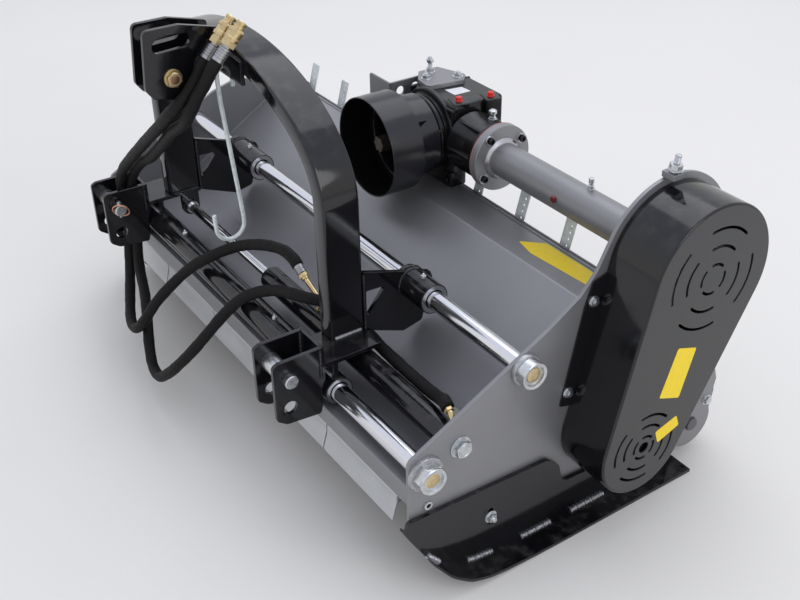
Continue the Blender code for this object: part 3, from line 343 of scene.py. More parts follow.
def block(low, high, edge=0.0008, segments=2):
    low, high = Vector(low), Vector(high)
    form = bmesh.new()
    bmesh.ops.create_cube(form, size=1.0)
    bmesh.ops.scale(form, vec=high - low, verts=form.verts)
    bmesh.ops.translate(form, vec=(low + high) / 2, verts=form.verts)
    if edge > 0.0:
        bevelled(form, form.edges[:], edge, segments, True)
    return form


def lathe(profile, origin, direction, steps=None, ring=False, edge=0.0):
    """Turned form: (radius, height) points, the height along the direction."""
    if edge > 0.0:
        profile = eased(profile, edge)
    form = bmesh.new()
    points = [form.verts.new((radius, 0.0, height)) for radius, height in profile]
    pairs = list(zip(points, points[1:]))
    if ring:
        pairs.append((points[-1], points[0]))
    lines = [form.edges.new(pair) for pair in pairs]
    bmesh.ops.spin(form, geom=points + lines, cent=(0, 0, 0), axis=(0, 0, 1), angle=2 * math.pi,
        steps=steps or sizes().turning_steps, use_merge=True)
    return settled(form, aimed(origin, direction))


def cross_lathe(profile, axis, steps=None, ring=False, edge=0.0):
    """Turned form about an axis that lies across the machine."""
    return lathe(profile, (0.0, *axis), X_AXIS, steps, ring, edge)


def pipe(radius, bore, span, axis, edge=0.0006):
    """Tube across the machine, its ends rounded."""
    low, high = span
    ring = [(radius, (low + high) / 2), (radius, high), (bore, high), (bore, low), (radius, low),
        (radius, (low + high) / 2)]
    return cross_lathe(eased(ring, edge)[:-1], axis, ring=True)


def prism(radius, height, origin, direction, roll=7.0, edge=0.0008):
    """Hexagon with its edges broken and a round face on its outer end."""
    form = bmesh.new()
    bmesh.ops.create_cone(form, cap_ends=True, segments=6, radius1=radius, radius2=radius,
        depth=height)
    bmesh.ops.translate(form, vec=(0.0, 0.0, height / 2), verts=form.verts)
    upper = [e for e in form.edges if all(v.co.z > height * 0.9 for v in e.verts)]
    bevelled(form, upper, radius * 0.1)
    upright = [e for e in form.edges if abs(e.verts[0].co.z - e.verts[1].co.z) > height * 0.3]
    bevelled(form, upright, edge)
    return settled(form, aimed(origin, direction, roll))


def plate(loops, span, facing="YZ", edge=None):
    """Cut plate from an outline and its holes, with broken edges."""
    low, high = span
    edge = min(sizes().plate_edge if edge is None else edge, (high - low) * 0.3)
    curve = bpy.data.curves.new("outline", "CURVE")
    curve.dimensions = "2D"
    curve.fill_mode = "BOTH"
    curve.extrude = (high - low) / 2 - edge
    curve.bevel_depth = edge
    curve.bevel_resolution = 1
    curve.offset = -edge
    for loop in loops:
        spline = curve.splines.new("POLY")
        spline.points.add(len(loop) - 1)
        for point, (u, v) in zip(spline.points, loop):
            point.co = (u, v, 0.0, 1.0)
        spline.use_cyclic_u = True
    outline = bpy.data.objects.new("outline", curve)
    mesh = bpy.data.meshes.new_from_object(outline)
    form = bmesh.new()
    form.from_mesh(mesh)
    bpy.data.meshes.remove(mesh)
    bpy.data.objects.remove(outline)
    bpy.data.curves.remove(curve)
    middle = (low + high) / 2
    move = {"XY": (0.0, 0.0, middle), "XZ": (0.0, middle, 0.0), "YZ": (middle, 0.0, 0.0)}
    return settled(form, Matrix.Translation(move[facing]) @ FACING[facing])


def sweep(points, radius, sides=12, swell=None):
    """Round wire along a line; swell(reach) scales the radius; it has its own UV map."""
    points = [Vector(p) for p in points]
    form = bmesh.new()
    layer = form.loops.layers.uv.new("along")
    first = (points[1] - points[0]).normalized()
    across = first.orthogonal().normalized()
    places, reach = [], 0.0
    for i, here in enumerate(points):
        tangent = (points[min(i + 1, len(points) - 1)] - points[max(i - 1, 0)]).normalized()
        across = (across - tangent * across.dot(tangent)).normalized()
        scale = radius * (swell(reach) if swell else 1.0)
        turn = Matrix((across, tangent.cross(across), tangent)).transposed().to_4x4()
        places.append((Matrix.Translation(here) @ turn @ Matrix.Diagonal((scale, scale, scale, 1)),
            reach))
        if i < len(points) - 1:
            reach += (points[i + 1] - here).length
    start = bmesh.ops.create_circle(form, segments=sides, radius=1.0, matrix=places[0][0])
    side = {vert: i for i, vert in enumerate(start["verts"])}
    along = {vert: 0.0 for vert in side}
    edges = form.edges[:]
    first_edges = edges
    for (before, _), (after, reach) in zip(places, places[1:]):
        made = bmesh.ops.extrude_edge_only(form, edges=edges)["geom"]
        fresh = [item for item in made if isinstance(item, bmesh.types.BMVert)]
        edges = [item for item in made if isinstance(item, bmesh.types.BMEdge)
            and item.verts[0] in fresh and item.verts[1] in fresh]
        for vert in fresh:
            known = next(e.other_vert(vert) for e in vert.link_edges if e.other_vert(vert) in side)
            side[vert] = side[known]
            along[vert] = reach
        bmesh.ops.transform(form, matrix=after @ before.inverted(), verts=fresh)
    for face in form.faces:
        turns = [side[loop.vert] for loop in face.loops]
        wraps = max(turns) - min(turns) > 1
        for loop, turn in zip(face.loops, turns):
            round_share = (sides if wraps and turn == 0 else turn) / sides
            loop[layer].uv = (along[loop.vert], round_share)
    bmesh.ops.contextual_create(form, geom=first_edges)
    bmesh.ops.contextual_create(form, geom=edges)
    bmesh.ops.recalc_face_normals(form, faces=form.faces)
    return form


def bead(points, radius=None, lump=1.0):
    """Weld bead with its ripples."""
    radius = radius or sizes().weld_bead
    line = evenly(points, 0.0011)

    def ripple(reach):
        return (1.0 + lump * 0.13 * math.sin(reach * 1900.0 / lump)
            + lump * 0.07 * math.sin(reach * 613.0))

    return sweep(line, radius, 8, ripple)


def wiper(x, way, rim, seat, axis):
    """Wiper ring in the end of a slide bush."""
    face, back = x + way * 0.0002, x - way * 0.0006
    return cross_lathe([(rim, face), (0.0215, face), (0.02, back), (seat, back)], axis, ring=True)


def thread(radius, length, origin, direction, pitch=0.0016):
    """Threaded end with a chamfer."""
    profile = [(radius, 0.0)]
    for i in range(int((length - 0.001) / pitch)):
        profile += [(radius, (i + 0.2) * pitch), (radius * 0.9, (i + 0.6) * pitch)]
    profile += [(radius * 0.95, length - 0.001), (radius * 0.82, length), (0.0, length)]
    return lathe(profile, origin, direction, 28)


def linked(name, data):
    thing = bpy.data.objects.new(name, data)
    bpy.context.scene.collection.objects.link(thing)
    return thing


class Shape:
    """Forms of the piece that takes a node's place, each with its finish or the piece's own."""

    def __init__(self, node, look):
        self.node = node
        self.look = look
        self.gathered = bmesh.new()
        self.looks = []

    def add(self, form, look=None):
        look = look or self.look
        if look not in self.looks:
            self.looks.append(look)
        slot = self.looks.index(look)
        for face in form.faces:
            face.material_index = slot
            face.smooth = True
        mesh = bpy.data.meshes.new("form")
        form.to_mesh(mesh)
        form.free()
        self.gathered.from_mesh(mesh)
        bpy.data.meshes.remove(mesh)

    def bolt(self, seat, direction, radius, height, look="zinc", washer=0.0, end=0.0):
        """Hexagon on its washer, with the threaded end that passes it."""
        seat, direction = Vector(seat), Vector(direction).normalized()
        if washer > 0.0:
            self.add(lathe([(0.0, 0.0018), (washer, 0.0018), (washer, 0.0)], seat, direction, 36,
                edge=0.0004), look)
            seat = seat + direction * 0.0016
        self.add(prism(radius, height, seat, direction), look)
        top = seat + direction * height
        self.add(lathe([(0.0, 0.0005), (radius * 0.78, 0.0005), (radius * 0.8, -0.001)], top,
            direction, 32), look)
        if end > 0.0:
            self.add(thread(radius * 0.56, end, top, direction), look)

    def place(self, body, slot, sharp=38.0):
        name = f"{self.node}_finished"
        mesh = bpy.data.meshes.new(name)
        self.gathered.to_mesh(mesh)
        self.gathered.free()
        mesh.transform(Matrix.Translation(ORIGIN))
        mesh.set_sharp_from_angle(angle=math.radians(sharp))
        for look in self.looks:
            mesh.materials.append(finish(look))
        piece = linked(name, mesh)
        level = piece.modifiers.new("flat_faces", "WEIGHTED_NORMAL")
        level.weight = 100
        level.keep_sharp = True
        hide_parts(self.node)
        if body:
            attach(piece, body)
        return piece


# Materials

class Wire:
    """A value in a node tree; arithmetic on it adds Math nodes."""

    def __init__(self, tree, socket):
        self.tree = tree
        self.socket = socket

    def worked(self, operation, *values):
        return self.tree.node("ShaderNodeMath", {"operation": operation}, dict(enumerate(values)))

    def __add__(self, other):
        return self.worked("ADD", self, other)

    def __radd__(self, other):
        return self.worked("ADD", other, self)

    def __sub__(self, other):
        return self.worked("SUBTRACT", self, other)

    def __rsub__(self, other):
        return self.worked("SUBTRACT", other, self)

    def __mul__(self, other):
        return self.worked("MULTIPLY", self, other)

    def __rmul__(self, other):
        return self.worked("MULTIPLY", other, self)

    def __gt__(self, other):
        return self.worked("GREATER_THAN", self, other)

    def __lt__(self, other):
        return self.worked("LESS_THAN", self, other)

    def sine(self):
        return self.worked("SINE", self)


class Tree:
    """The nodes of a material or world; feed without inputs fills its shader."""

    def __init__(self, owner, shader):
        owner.use_nodes = True
        self.tree = owner.node_tree
        self.shader = self.tree.nodes[shader]

    def feed(self, key, value, inputs=None):
        socket = (inputs or self.shader.inputs)[key]
        if isinstance(value, Wire):
            self.tree.links.new(value.socket, socket)
        else:
            socket.default_value = value

    def node(self, kind, settings, values, output=0):
        item = self.tree.nodes.new(kind)
        for key, value in settings.items():
            setattr(item, key, value)
        for key, value in values.items():
            self.feed(key, value, item.inputs)
        return Wire(self, item.outputs[output])

    def step(self, value, low, high):
        """Nought below low and one above high."""
        return self.node("ShaderNodeMapRange", {"interpolation_type": "SMOOTHSTEP"},
            {"Value": value, "From Min": low, "From Max": high})

    def mix(self, share, first, second):
        first, second = (c if isinstance(c, Wire) else (*c[:3], 1.0) for c in (first, second))
        return self.node("ShaderNodeMix", {"data_type": "RGBA"}, {0: share, 6: first, 7: second},
            2)


class Surface(Tree):
    """A Principled material while its nodes are laid."""

    def __init__(self, name, colour, roughness, metallic=0.0, **constants):
        self.material = bpy.data.materials.new(name)
        super().__init__(self.material, "Principled BSDF")
        self.feed("Base Color", (*colour, 1.0))
        self.feed("Roughness", roughness)
        self.feed("Metallic", metallic)
        for key, value in constants.items():
            self.feed(key, value)
        self.where = self.node("ShaderNodeTexCoord", {}, {}, "Object")
        self.material.diffuse_color = (*colour, 1.0)

    def laid(self, colour, roughness, normal):
        """The material, once what changes over it is fed."""
        self.feed("Base Color", colour)
        self.feed("Roughness", roughness)
        self.feed("Normal", normal)
        return self.material

    def noise(self, scale, detail=2.0, where=None):
        return self.node("ShaderNodeTexNoise", {}, {"Vector": where or self.where, "Scale": scale,
            "Detail": detail})

    def cells(self, scale, output="Distance"):
        return self.node("ShaderNodeTexVoronoi", {}, {"Vector": self.where, "Scale": scale},
            output)

    def stretched(self, x, y, z):
        return self.node("ShaderNodeMapping", {}, {"Vector": self.where, "Scale": (x, y, z)})

    def upward(self):
        normal = self.node("ShaderNodeNewGeometry", {}, {}, "Normal")
        return self.node("ShaderNodeSeparateXYZ", {}, {0: normal}, "Z")

    def bump(self, height, strength, distance, under=None):
        values = {"Height": height, "Strength": strength, "Distance": distance}
        if under is not None:
            values["Normal"] = under
        return self.node("ShaderNodeBump", {}, values)


def shade(colour, factor):
    return tuple(min(1.0, part * factor) for part in colour)


def gloss_black():
    colour = tint("gloss_black")
    s = Surface("gloss_black_paint", colour, 0.16, IOR=1.52)
    cloud = s.noise(5.0, 4.0)
    grain = s.noise(900.0, 2.0)
    dust = s.step(s.upward(), 0.45, 1.0) * s.step(s.noise(38.0, 6.0), 0.42, 0.75)
    return s.laid(s.mix(dust * 0.1, colour, (0.3, 0.29, 0.27)), 0.05 + cloud * 0.1 + dust * 0.1,
        s.bump(grain, 0.03, 0.0003, s.bump(s.noise(160.0, 3.0), 0.045, 0.0008)))


def steel_grey():
    colour = tint("steel_grey")
    s = Surface("steel_grey_paint", colour, 0.42, 0.62)
    cloud = s.noise(4.0, 5.0)
    flake = s.noise(2600.0, 1.0)
    speck = s.cells(310.0)
    rare = s.cells(310.0, "Color") > 0.62
    dots = (1.0 - s.step(speck, 0.06, 0.2)) * rare
    shaded = s.mix(cloud * 0.8 + flake * 0.35 - 0.18, shade(colour, 0.78), shade(colour, 1.28))
    return s.laid(s.mix(dots * 0.4, shaded, shade(colour, 0.35)),
        0.3 + cloud * 0.16 + flake * 0.08 - dots * 0.08, s.bump(flake, 0.1, 0.0004,
        s.bump(s.noise(60.0, 4.0, s.stretched(0.15, 1.0, 1.0)), 0.1, 0.001)))


def dark_grey():
    colour = shade(tint("steel_grey"), 0.42)
    s = Surface("dark_grey_paint", colour, 0.4, 0.45)
    cloud = s.noise(9.0, 5.0)
    return s.laid(s.mix(cloud, shade(colour, 0.75), shade(colour, 1.25)), 0.32 + cloud * 0.2,
        s.bump(s.noise(500.0, 2.0), 0.06, 0.0004))


# Dark grey base colour for the belt cover's face: painted reflection of the bright floor in the
# gloss paint.
def painted_sheen_face():
    s = Surface("dark_face_painted_sheen", (0.041, 0.041, 0.041), 0.42)
    cloud = s.noise(7.0, 4.0)
    return s.laid(s.mix(cloud, (0.034, 0.034, 0.034), (0.048, 0.048, 0.048)), 0.34 + cloud * 0.14,
        s.bump(s.noise(420.0, 3.0), 0.06, 0.0004))


def chrome():
    colour = tint("chrome")
    s = Surface("hard_chrome", colour, 0.1, 1.0)
    hone = s.noise(1.0, 3.0, s.stretched(900.0, 6.0, 6.0))
    film = s.noise(7.0, 4.0)
    return s.laid(s.mix(film, shade(colour, 0.86), colour), 0.05 + hone * 0.09 + film * 0.06,
        s.bump(hone, 0.03, 0.0003))


def plated(name, colour, low, high, scale=170.0):
    """Plated steel with crystal patches and fine scratches."""
    s = Surface(name, colour, low, 1.0)
    spangle = s.cells(scale, "Color")
    scratch = s.noise(1.0, 4.0, s.stretched(500.0, 60.0, 700.0))
    film = s.noise(45.0, 4.0)
    return s.laid(s.mix(spangle * 0.5 + film * 0.5, shade(colour, 0.72), shade(colour, 1.16)),
        low + (high - low) * (spangle * 0.5 + scratch * 0.5), s.bump(scratch, 0.1, 0.0003))


def smooth_zinc():
    """Rolled and plated sheet without visible crystals."""
    s = Surface("smooth_zinc", (0.5, 0.51, 0.52), 0.38, 0.55)
    film = s.noise(18.0, 4.0)
    drawn = s.noise(1.0, 4.0, s.stretched(12.0, 500.0, 500.0))
    return s.laid(s.mix(film * 0.7 + drawn * 0.3, (0.42, 0.43, 0.44), (0.58, 0.59, 0.6)),
        0.28 + film * 0.14 + drawn * 0.06, s.bump(drawn, 0.05, 0.0003))


def galvanised():
    colour = tint("galvanised")
    s = Surface("galvanised_steel", colour, 0.45, 0.35)
    spangle = s.cells(120.0, "Color")
    bloom = s.noise(30.0, 5.0)
    return s.laid(s.mix(spangle * 0.6 + bloom * 0.4, shade(colour, 0.8), shade(colour, 1.25)),
        0.34 + 0.22 * bloom + 0.08 * spangle, s.bump(s.noise(260.0, 3.0), 0.08, 0.0005))


def casting():
    colour = tint("casting")
    s = Surface("painted_casting", colour, 0.25, IOR=1.42)
    sand = s.noise(420.0, 4.0)
    lumps = s.noise(60.0, 3.0)
    dust = s.step(s.upward(), 0.5, 1.0) * s.noise(80.0, 5.0)
    return s.laid(s.mix(dust * 0.12, colour, (0.2, 0.2, 0.19)), 0.12 + 0.2 * lumps, s.bump(sand,
        0.16, 0.0006, s.bump(lumps, 0.18, 0.0025)))


def plastic():
    colour = tint("plastic")
    s = Surface("black_plastic", colour, 0.34, IOR=1.52)
    cloud = s.noise(14.0, 4.0)
    rub = s.noise(1.0, 3.0, s.stretched(40.0, 900.0, 40.0))
    return s.laid(s.mix(cloud, shade(colour, 0.8), shade(colour, 1.6)),
        0.13 + cloud * 0.12 + rub * 0.05, s.bump(s.noise(1100.0, 2.0), 0.06, 0.0002,
        s.bump(rub, 0.04, 0.0003)))


def sleeve():
    colour = tint("sleeve")
    s = Surface("woven_sleeve", colour, 0.85, IOR=1.26)
    chart = s.node("ShaderNodeUVMap", {"uv_map": "along"}, {})
    along = s.node("ShaderNodeSeparateXYZ", {}, {0: chart}, "X")
    around = s.node("ShaderNodeSeparateXYZ", {}, {0: chart}, "Y")
    lead = along * (2 * math.pi / 0.0072)
    wrap = around * (2 * math.pi * 9)
    one = (lead + wrap).sine()
    other = (lead - wrap).sine()
    weave = one * other * 0.5 + 0.5
    fuzz = s.noise(1500.0, 3.0)
    rub = s.noise(22.0, 5.0)
    # Raised weave crossings are lightened as painted highlights; the fuzz part is random tone.
    weave_lift_and_highlight = weave * 0.65 + fuzz * 0.35
    return s.laid(s.mix(weave_lift_and_highlight, shade(colour, 0.3), shade(colour, 2.6)),
        0.52 + fuzz * 0.3 - rub * 0.12, s.bump(weave_lift_and_highlight, 0.7, 0.0009,
        s.bump(s.noise(70.0, 4.0), 0.6, 0.004)))


def rubber():
    colour = tint("rubber")
    s = Surface("belt_rubber", colour, 0.8)
    grime = s.noise(60.0, 5.0)
    return s.laid(s.mix(grime, shade(colour, 0.7), shade(colour, 1.8)), 0.65 + grime * 0.3,
        s.bump(s.noise(700.0, 3.0), 0.2, 0.0004))


def forged():
    colour = tint("forged")
    s = Surface("forged_steel", colour, 0.55, 0.8)
    scale = s.noise(90.0, 6.0)
    rust = s.step(s.noise(24.0, 6.0), 0.52, 0.7)
    s.feed("Base Color", s.mix(rust * 0.7, colour, (0.16, 0.07, 0.03)))
    s.feed("Roughness", 0.4 + scale * 0.25 + rust * 0.2)
    s.feed("Metallic", 0.85 - rust * 0.6)
    s.feed("Normal", s.bump(scale, 0.35, 0.001))
    return s.material


def weld():
    s = Surface("weld_bead", (0.45, 0.45, 0.47), 0.34, 0.8)
    stain = s.noise(240.0, 5.0)
    return s.laid(s.mix(stain, (0.12, 0.12, 0.13), (0.74, 0.74, 0.77)), 0.28 + stain * 0.3,
        s.bump(s.noise(900.0, 3.0), 0.25, 0.0006))


def moulded(name, colour, roughness, **constants):
    """Small plain moulding or sticker with slight mottling."""
    s = Surface(name, colour, roughness, **constants)
    cloud = s.noise(120.0, 4.0)
    return s.laid(s.mix(cloud, shade(colour, 0.88), shade(colour, 1.06)),
        roughness - 0.06 + cloud * 0.12, s.bump(s.noise(400.0, 2.0), 0.05, 0.0003))


def machined():
    s = Surface("machined_steel", (0.5, 0.5, 0.52), 0.3, 1.0)
    rings = s.noise(1.0, 2.0, s.stretched(1500.0, 30.0, 30.0))
    return s.laid(s.mix(s.noise(30.0, 4.0), (0.4, 0.4, 0.42), (0.6, 0.6, 0.62)),
        0.22 + rings * 0.18, s.bump(rings, 0.12, 0.0003))


FINISHES = {
    "gloss_black": gloss_black,
    "steel_grey": steel_grey,
    "dark_grey": dark_grey,
    "painted_sheen_face": painted_sheen_face,
    "chrome": chrome,
    "zinc": lambda: plated("bright_zinc", tint("zinc"), 0.18, 0.42),
    "yellow_zinc": lambda: plated("yellow_zinc", tint("yellow_zinc"), 0.24, 0.46),
    "brass": lambda: plated("brass", tint("brass"), 0.16, 0.36, 60.0),
    "copper": lambda: plated("copper_wire", tint("copper"), 0.2, 0.4, 90.0),
    "ferrule": lambda: plated("ferrule_steel", (0.46, 0.46, 0.47), 0.25, 0.45, 90.0),
    "black_bolt": lambda: plated("blackened_steel", (0.045, 0.045, 0.05), 0.3, 0.5),
    "galvanised": galvanised,
    "smooth_zinc": smooth_zinc,
    "worn_brown": lambda: plated("worn_brown", (0.3, 0.17, 0.1), 0.35, 0.55, 90.0),
    "machined": machined,
    "casting": casting,
    "plastic": plastic,
    "sleeve": sleeve,
    "rubber": rubber,
    "forged": forged,
    "weld": weld,
    "plug_red": lambda: moulded("red_plug", tint("plug_red"), 0.35),
    "dark_red": lambda: moulded("dark_red_plug", (0.16, 0.01, 0.012), 0.35),
    "patch_yellow": lambda: moulded("yellow_patch", tint("patch_yellow"), 0.45),
    "label_white": lambda: moulded("white_label", tint("label_white"), 0.4),
    "gasket": lambda: moulded("gasket", tint("gasket"), 0.6),
    # Near-black and barely reflecting: painted shade for hex sockets, a nut recess, the guard's
    # inside and its notch.
    "painted_shade_black": lambda: moulded("painted_shade_bore", (0.004, 0.004, 0.004), 0.8, IOR=1.12),
}
MADE = {}


def finish(name):
    """The material of a finish, made when it is first asked for."""
    if name not in MADE:
        MADE[name] = FINISHES[name]()
    return MADE[name]


# Pieces

SLOPE = ((-0.135, 0.05, 0.0), (-0.18, 0.08, 0.0), (-0.214, 0.11, 0.0), (-0.241, 0.147, 0.0),
    (-0.254, 0.18, 0.0), (-0.254, 0.32, 0.02), (0.053, 0.479, 0.06))
PLATE_REAR = ((0.545, 0.16, 0.004), (0.535, 0.1, 0.0), (0.505, 0.102, 0.0), (0.49, 0.164, 0.01),
    (0.44, 0.158, 0.0), (0.4, 0.13, 0.0), (0.385, 0.05, 0.0))
SOLE_LINE = ((-0.224, 0.09), (-0.192, 0.052), (-0.154, 0.027), (-0.11, 0.0145), (-0.071, 0.0095),
    (0.003, 0.0055), (0.08, 0.004), (0.426, 0.004))


class Dress(bpy.types.Operator):
    """Base of the operators that finish the pieces"""
    bl_options = {"REGISTER", "UNDO"}


class MULCHER_OT_side_plates(Dress):
    """Make both side plates with their bores"""
    bl_idname = "mulcher.side_plates"
    bl_label = "Side plates"

    def execute(self, context):
        bores = [circle(UPPER_BAR, BAR_RADIUS + 0.0005), circle(LOWER_BAR, BAR_RADIUS + 0.0005),
            circle(ROTOR, 0.02)]
        rim = arc(DRIVE, 0.161, 155.0, -25.0, 72)
        front = rounded(SLOPE + ((0.124, 0.523, 0.015), (0.158, 0.562, 0.0)), open_line=True)
        rear = rounded(((0.5, 0.3, 0.0),) + PLATE_REAR, open_line=True)
        holes = bores + [circle(CYLINDER, 0.0108), circle(DRIVE, 0.015)]
        drive = Shape("side_plate_drive", "steel_grey")
        drive.add(plate([front + rim + rear] + holes, (PLATE_IN, PLATE_OUT)))
        seat = (PLATE_OUT - 0.001, -0.214, 0.206)
        drive.add(lathe([(0.0, 0.0025), (0.0045, 0.0025), (0.0048, 0.0062), (0.0088, 0.006),
            (0.0092, 0.0)], seat, X_AXIS, 32, edge=0.0005), "zinc")
        # Near-black hexagon in the button head: painted shade in its socket.
        drive.add(prism(0.0046, 0.0008, Vector(seat) + X_AXIS * 0.0024, X_AXIS), "painted_shade_black")
        drive.place("mower", "steel_grey")
        far = SLOPE + ((0.12, 0.498, 0.03), (0.3, 0.462, 0.02), (0.335, 0.44, 0.01),
            (0.44, 0.27, 0.01)) + PLATE_REAR
        idle = Shape("side_plate_idle", "steel_grey")
        idle.add(plate([rounded(far)] + bores, (-PLATE_OUT, -PLATE_IN)))
        idle.place("mower", "steel_grey")
        return {"FINISHED"}


class MULCHER_OT_hood(Dress):
    """Make the folded hood with its rear hem, seams and bare yellow patch"""
    bl_idname = "mulcher.hood"
    bl_label = "Hood"

    def execute(self, context):
        hood = Shape("hood_shell", "steel_grey")
        hood.add(plate([ribbon(eased(HOOD_LINE, 0.01), HOOD_THICK)], (-BETWEEN, BETWEEN),
            edge=0.0005))
        top = 0.43 + HOOD_THICK / 2
        for start, end in ((-0.652, -0.106), (0.078, 0.652)):
            hood.add(block((start, 0.3085, top - 0.001), (end, 0.3115, top + 0.0022), 0.0007))
        hood.add(block((-0.652, 0.319, top - 0.001), (0.652, 0.3225, top + 0.003), 0.0008))
        for side in (-1, 1):
            seam = [(side * (BETWEEN - 0.0004), y, z + 0.0026) for y, z in HOOD_LINE[:4]]
            hood.add(bead(seam, 0.0018))
        patch = rounded(((0.336, 0.261, 0.003), (0.379, 0.303, 0.003), (0.542, 0.303, 0.003),
            (0.56, 0.262, 0.003), (0.389, 0.25, 0.003)))
        hood.add(plate([patch], (top - 0.0002, top + 0.0004), "XY", 0.0001), "patch_yellow")
        hood.place("mower", "steel_grey")
        return {"FINISHED"}


class MULCHER_OT_slide_bars(Dress):
    """Turn the chromed bars with their collars, nuts and hollow ends"""
    bl_idname = "mulcher.slide_bars"
    bl_label = "Slide bars"

    def execute(self, context):
        for name, axis, collar, hexagon in (("upper_slide_bar", UPPER_BAR, 0.029, False),
                ("lower_slide_bar", LOWER_BAR, 0.0335, True)):
            shape = Shape(name, "zinc")
            shape.add(cross_lathe([(0.0, FACE + 0.002), (BAR_RADIUS, FACE + 0.002),
                (BAR_RADIUS, -FACE - 0.002), (0.0, -FACE - 0.002)], axis), "chrome")
            for side in (-1, 1):
                out = Vector((side * FACE, *axis))
                way = X_AXIS * side
                shape.add(lathe([(0.0, 0.0075), (collar + 0.002, 0.0075), (collar + 0.003, 0.0)],
                    out, way, edge=0.002), "weld")
                if hexagon:
                    shape.add(prism(0.03, 0.019, out + way * 0.006, way, 22.0, 0.0016))
                else:
                    shape.add(lathe([(0.0, 0.006), (0.0275, 0.006), (0.0275, 0.029)], out, way,
                        edge=0.001))
                shape.add(lathe([(0.0, 0.0225), (0.0205, 0.0225), (0.0205, 0.029),
                    (0.0262, 0.0296), (0.0276, 0.0284), (0.0276, 0.024)], out, way, edge=0.0004))
                shape.add(lathe([(0.0, 0.0262), (0.008, 0.0262), (0.015, 0.025), (0.016, 0.022)],
                    out, way, edge=0.0008), "yellow_zinc")
            shape.place("mower", "chrome")
        return {"FINISHED"}


class MULCHER_OT_front_edge(Dress):
    """Make the front beam, the flap rod and the five hinged flaps"""
    bl_idname = "mulcher.front_edge"
    bl_label = "Front edge"

    def execute(self, context):
        beam = Shape("front_beam", "steel_grey")
        beam.add(block((-BETWEEN, BEAM_Y[0], BEAM_Z[0]), (BETWEEN, BEAM_Y[1], BEAM_Z[1]), 0.003,
            3))
        reach = FLAP_PITCH * FLAP_COUNT / 2 + 0.004
        beam.add(cross_lathe([(0.0, reach), (0.005, reach), (0.005, -reach), (0.0, -reach)],
            FLAP_ROD, 32, edge=0.0008), "zinc")
        for i in range(FLAP_COUNT + 1):
            x = FLAP_PITCH * (i - FLAP_COUNT / 2)
            beam.add(block((x - 0.0015, FLAP_ROD[0] - 0.007, FLAP_ROD[1] - 0.008), (x + 0.0015,
                FLAP_ROD[0] + 0.007, BEAM_Z[0] + 0.004), 0.0005))
        beam.place("mower", "satin_grey")
        half = FLAP_PITCH / 2 - 0.002
        for i in range(FLAP_COUNT):
            x = FLAP_PITCH * (i - (FLAP_COUNT - 1) / 2)
            line = arc(FLAP_ROD, 0.007, -10.0, 200.0, 24)
            line += rounded([(FLAP_ROD[0] - 0.007, FLAP_ROD[1] - 0.012, 0.006),
                (FLAP_ROD[0] - 0.0105, FLAP_ROD[1] - 0.024, 0.02), (FLAP_ROD[0] - 0.0175,
                FLAP_ROD[1] - 0.05, 0.0)], open_line=True)
            flap = Shape(f"front_flap_{i + 1}", "smooth_zinc")
            flap.add(plate([ribbon(line, 0.0022)], (x - half, x + half), edge=0.0004))
            flap.place(f"flap_{i + 1}", "zinc")
        return {"FINISHED"}


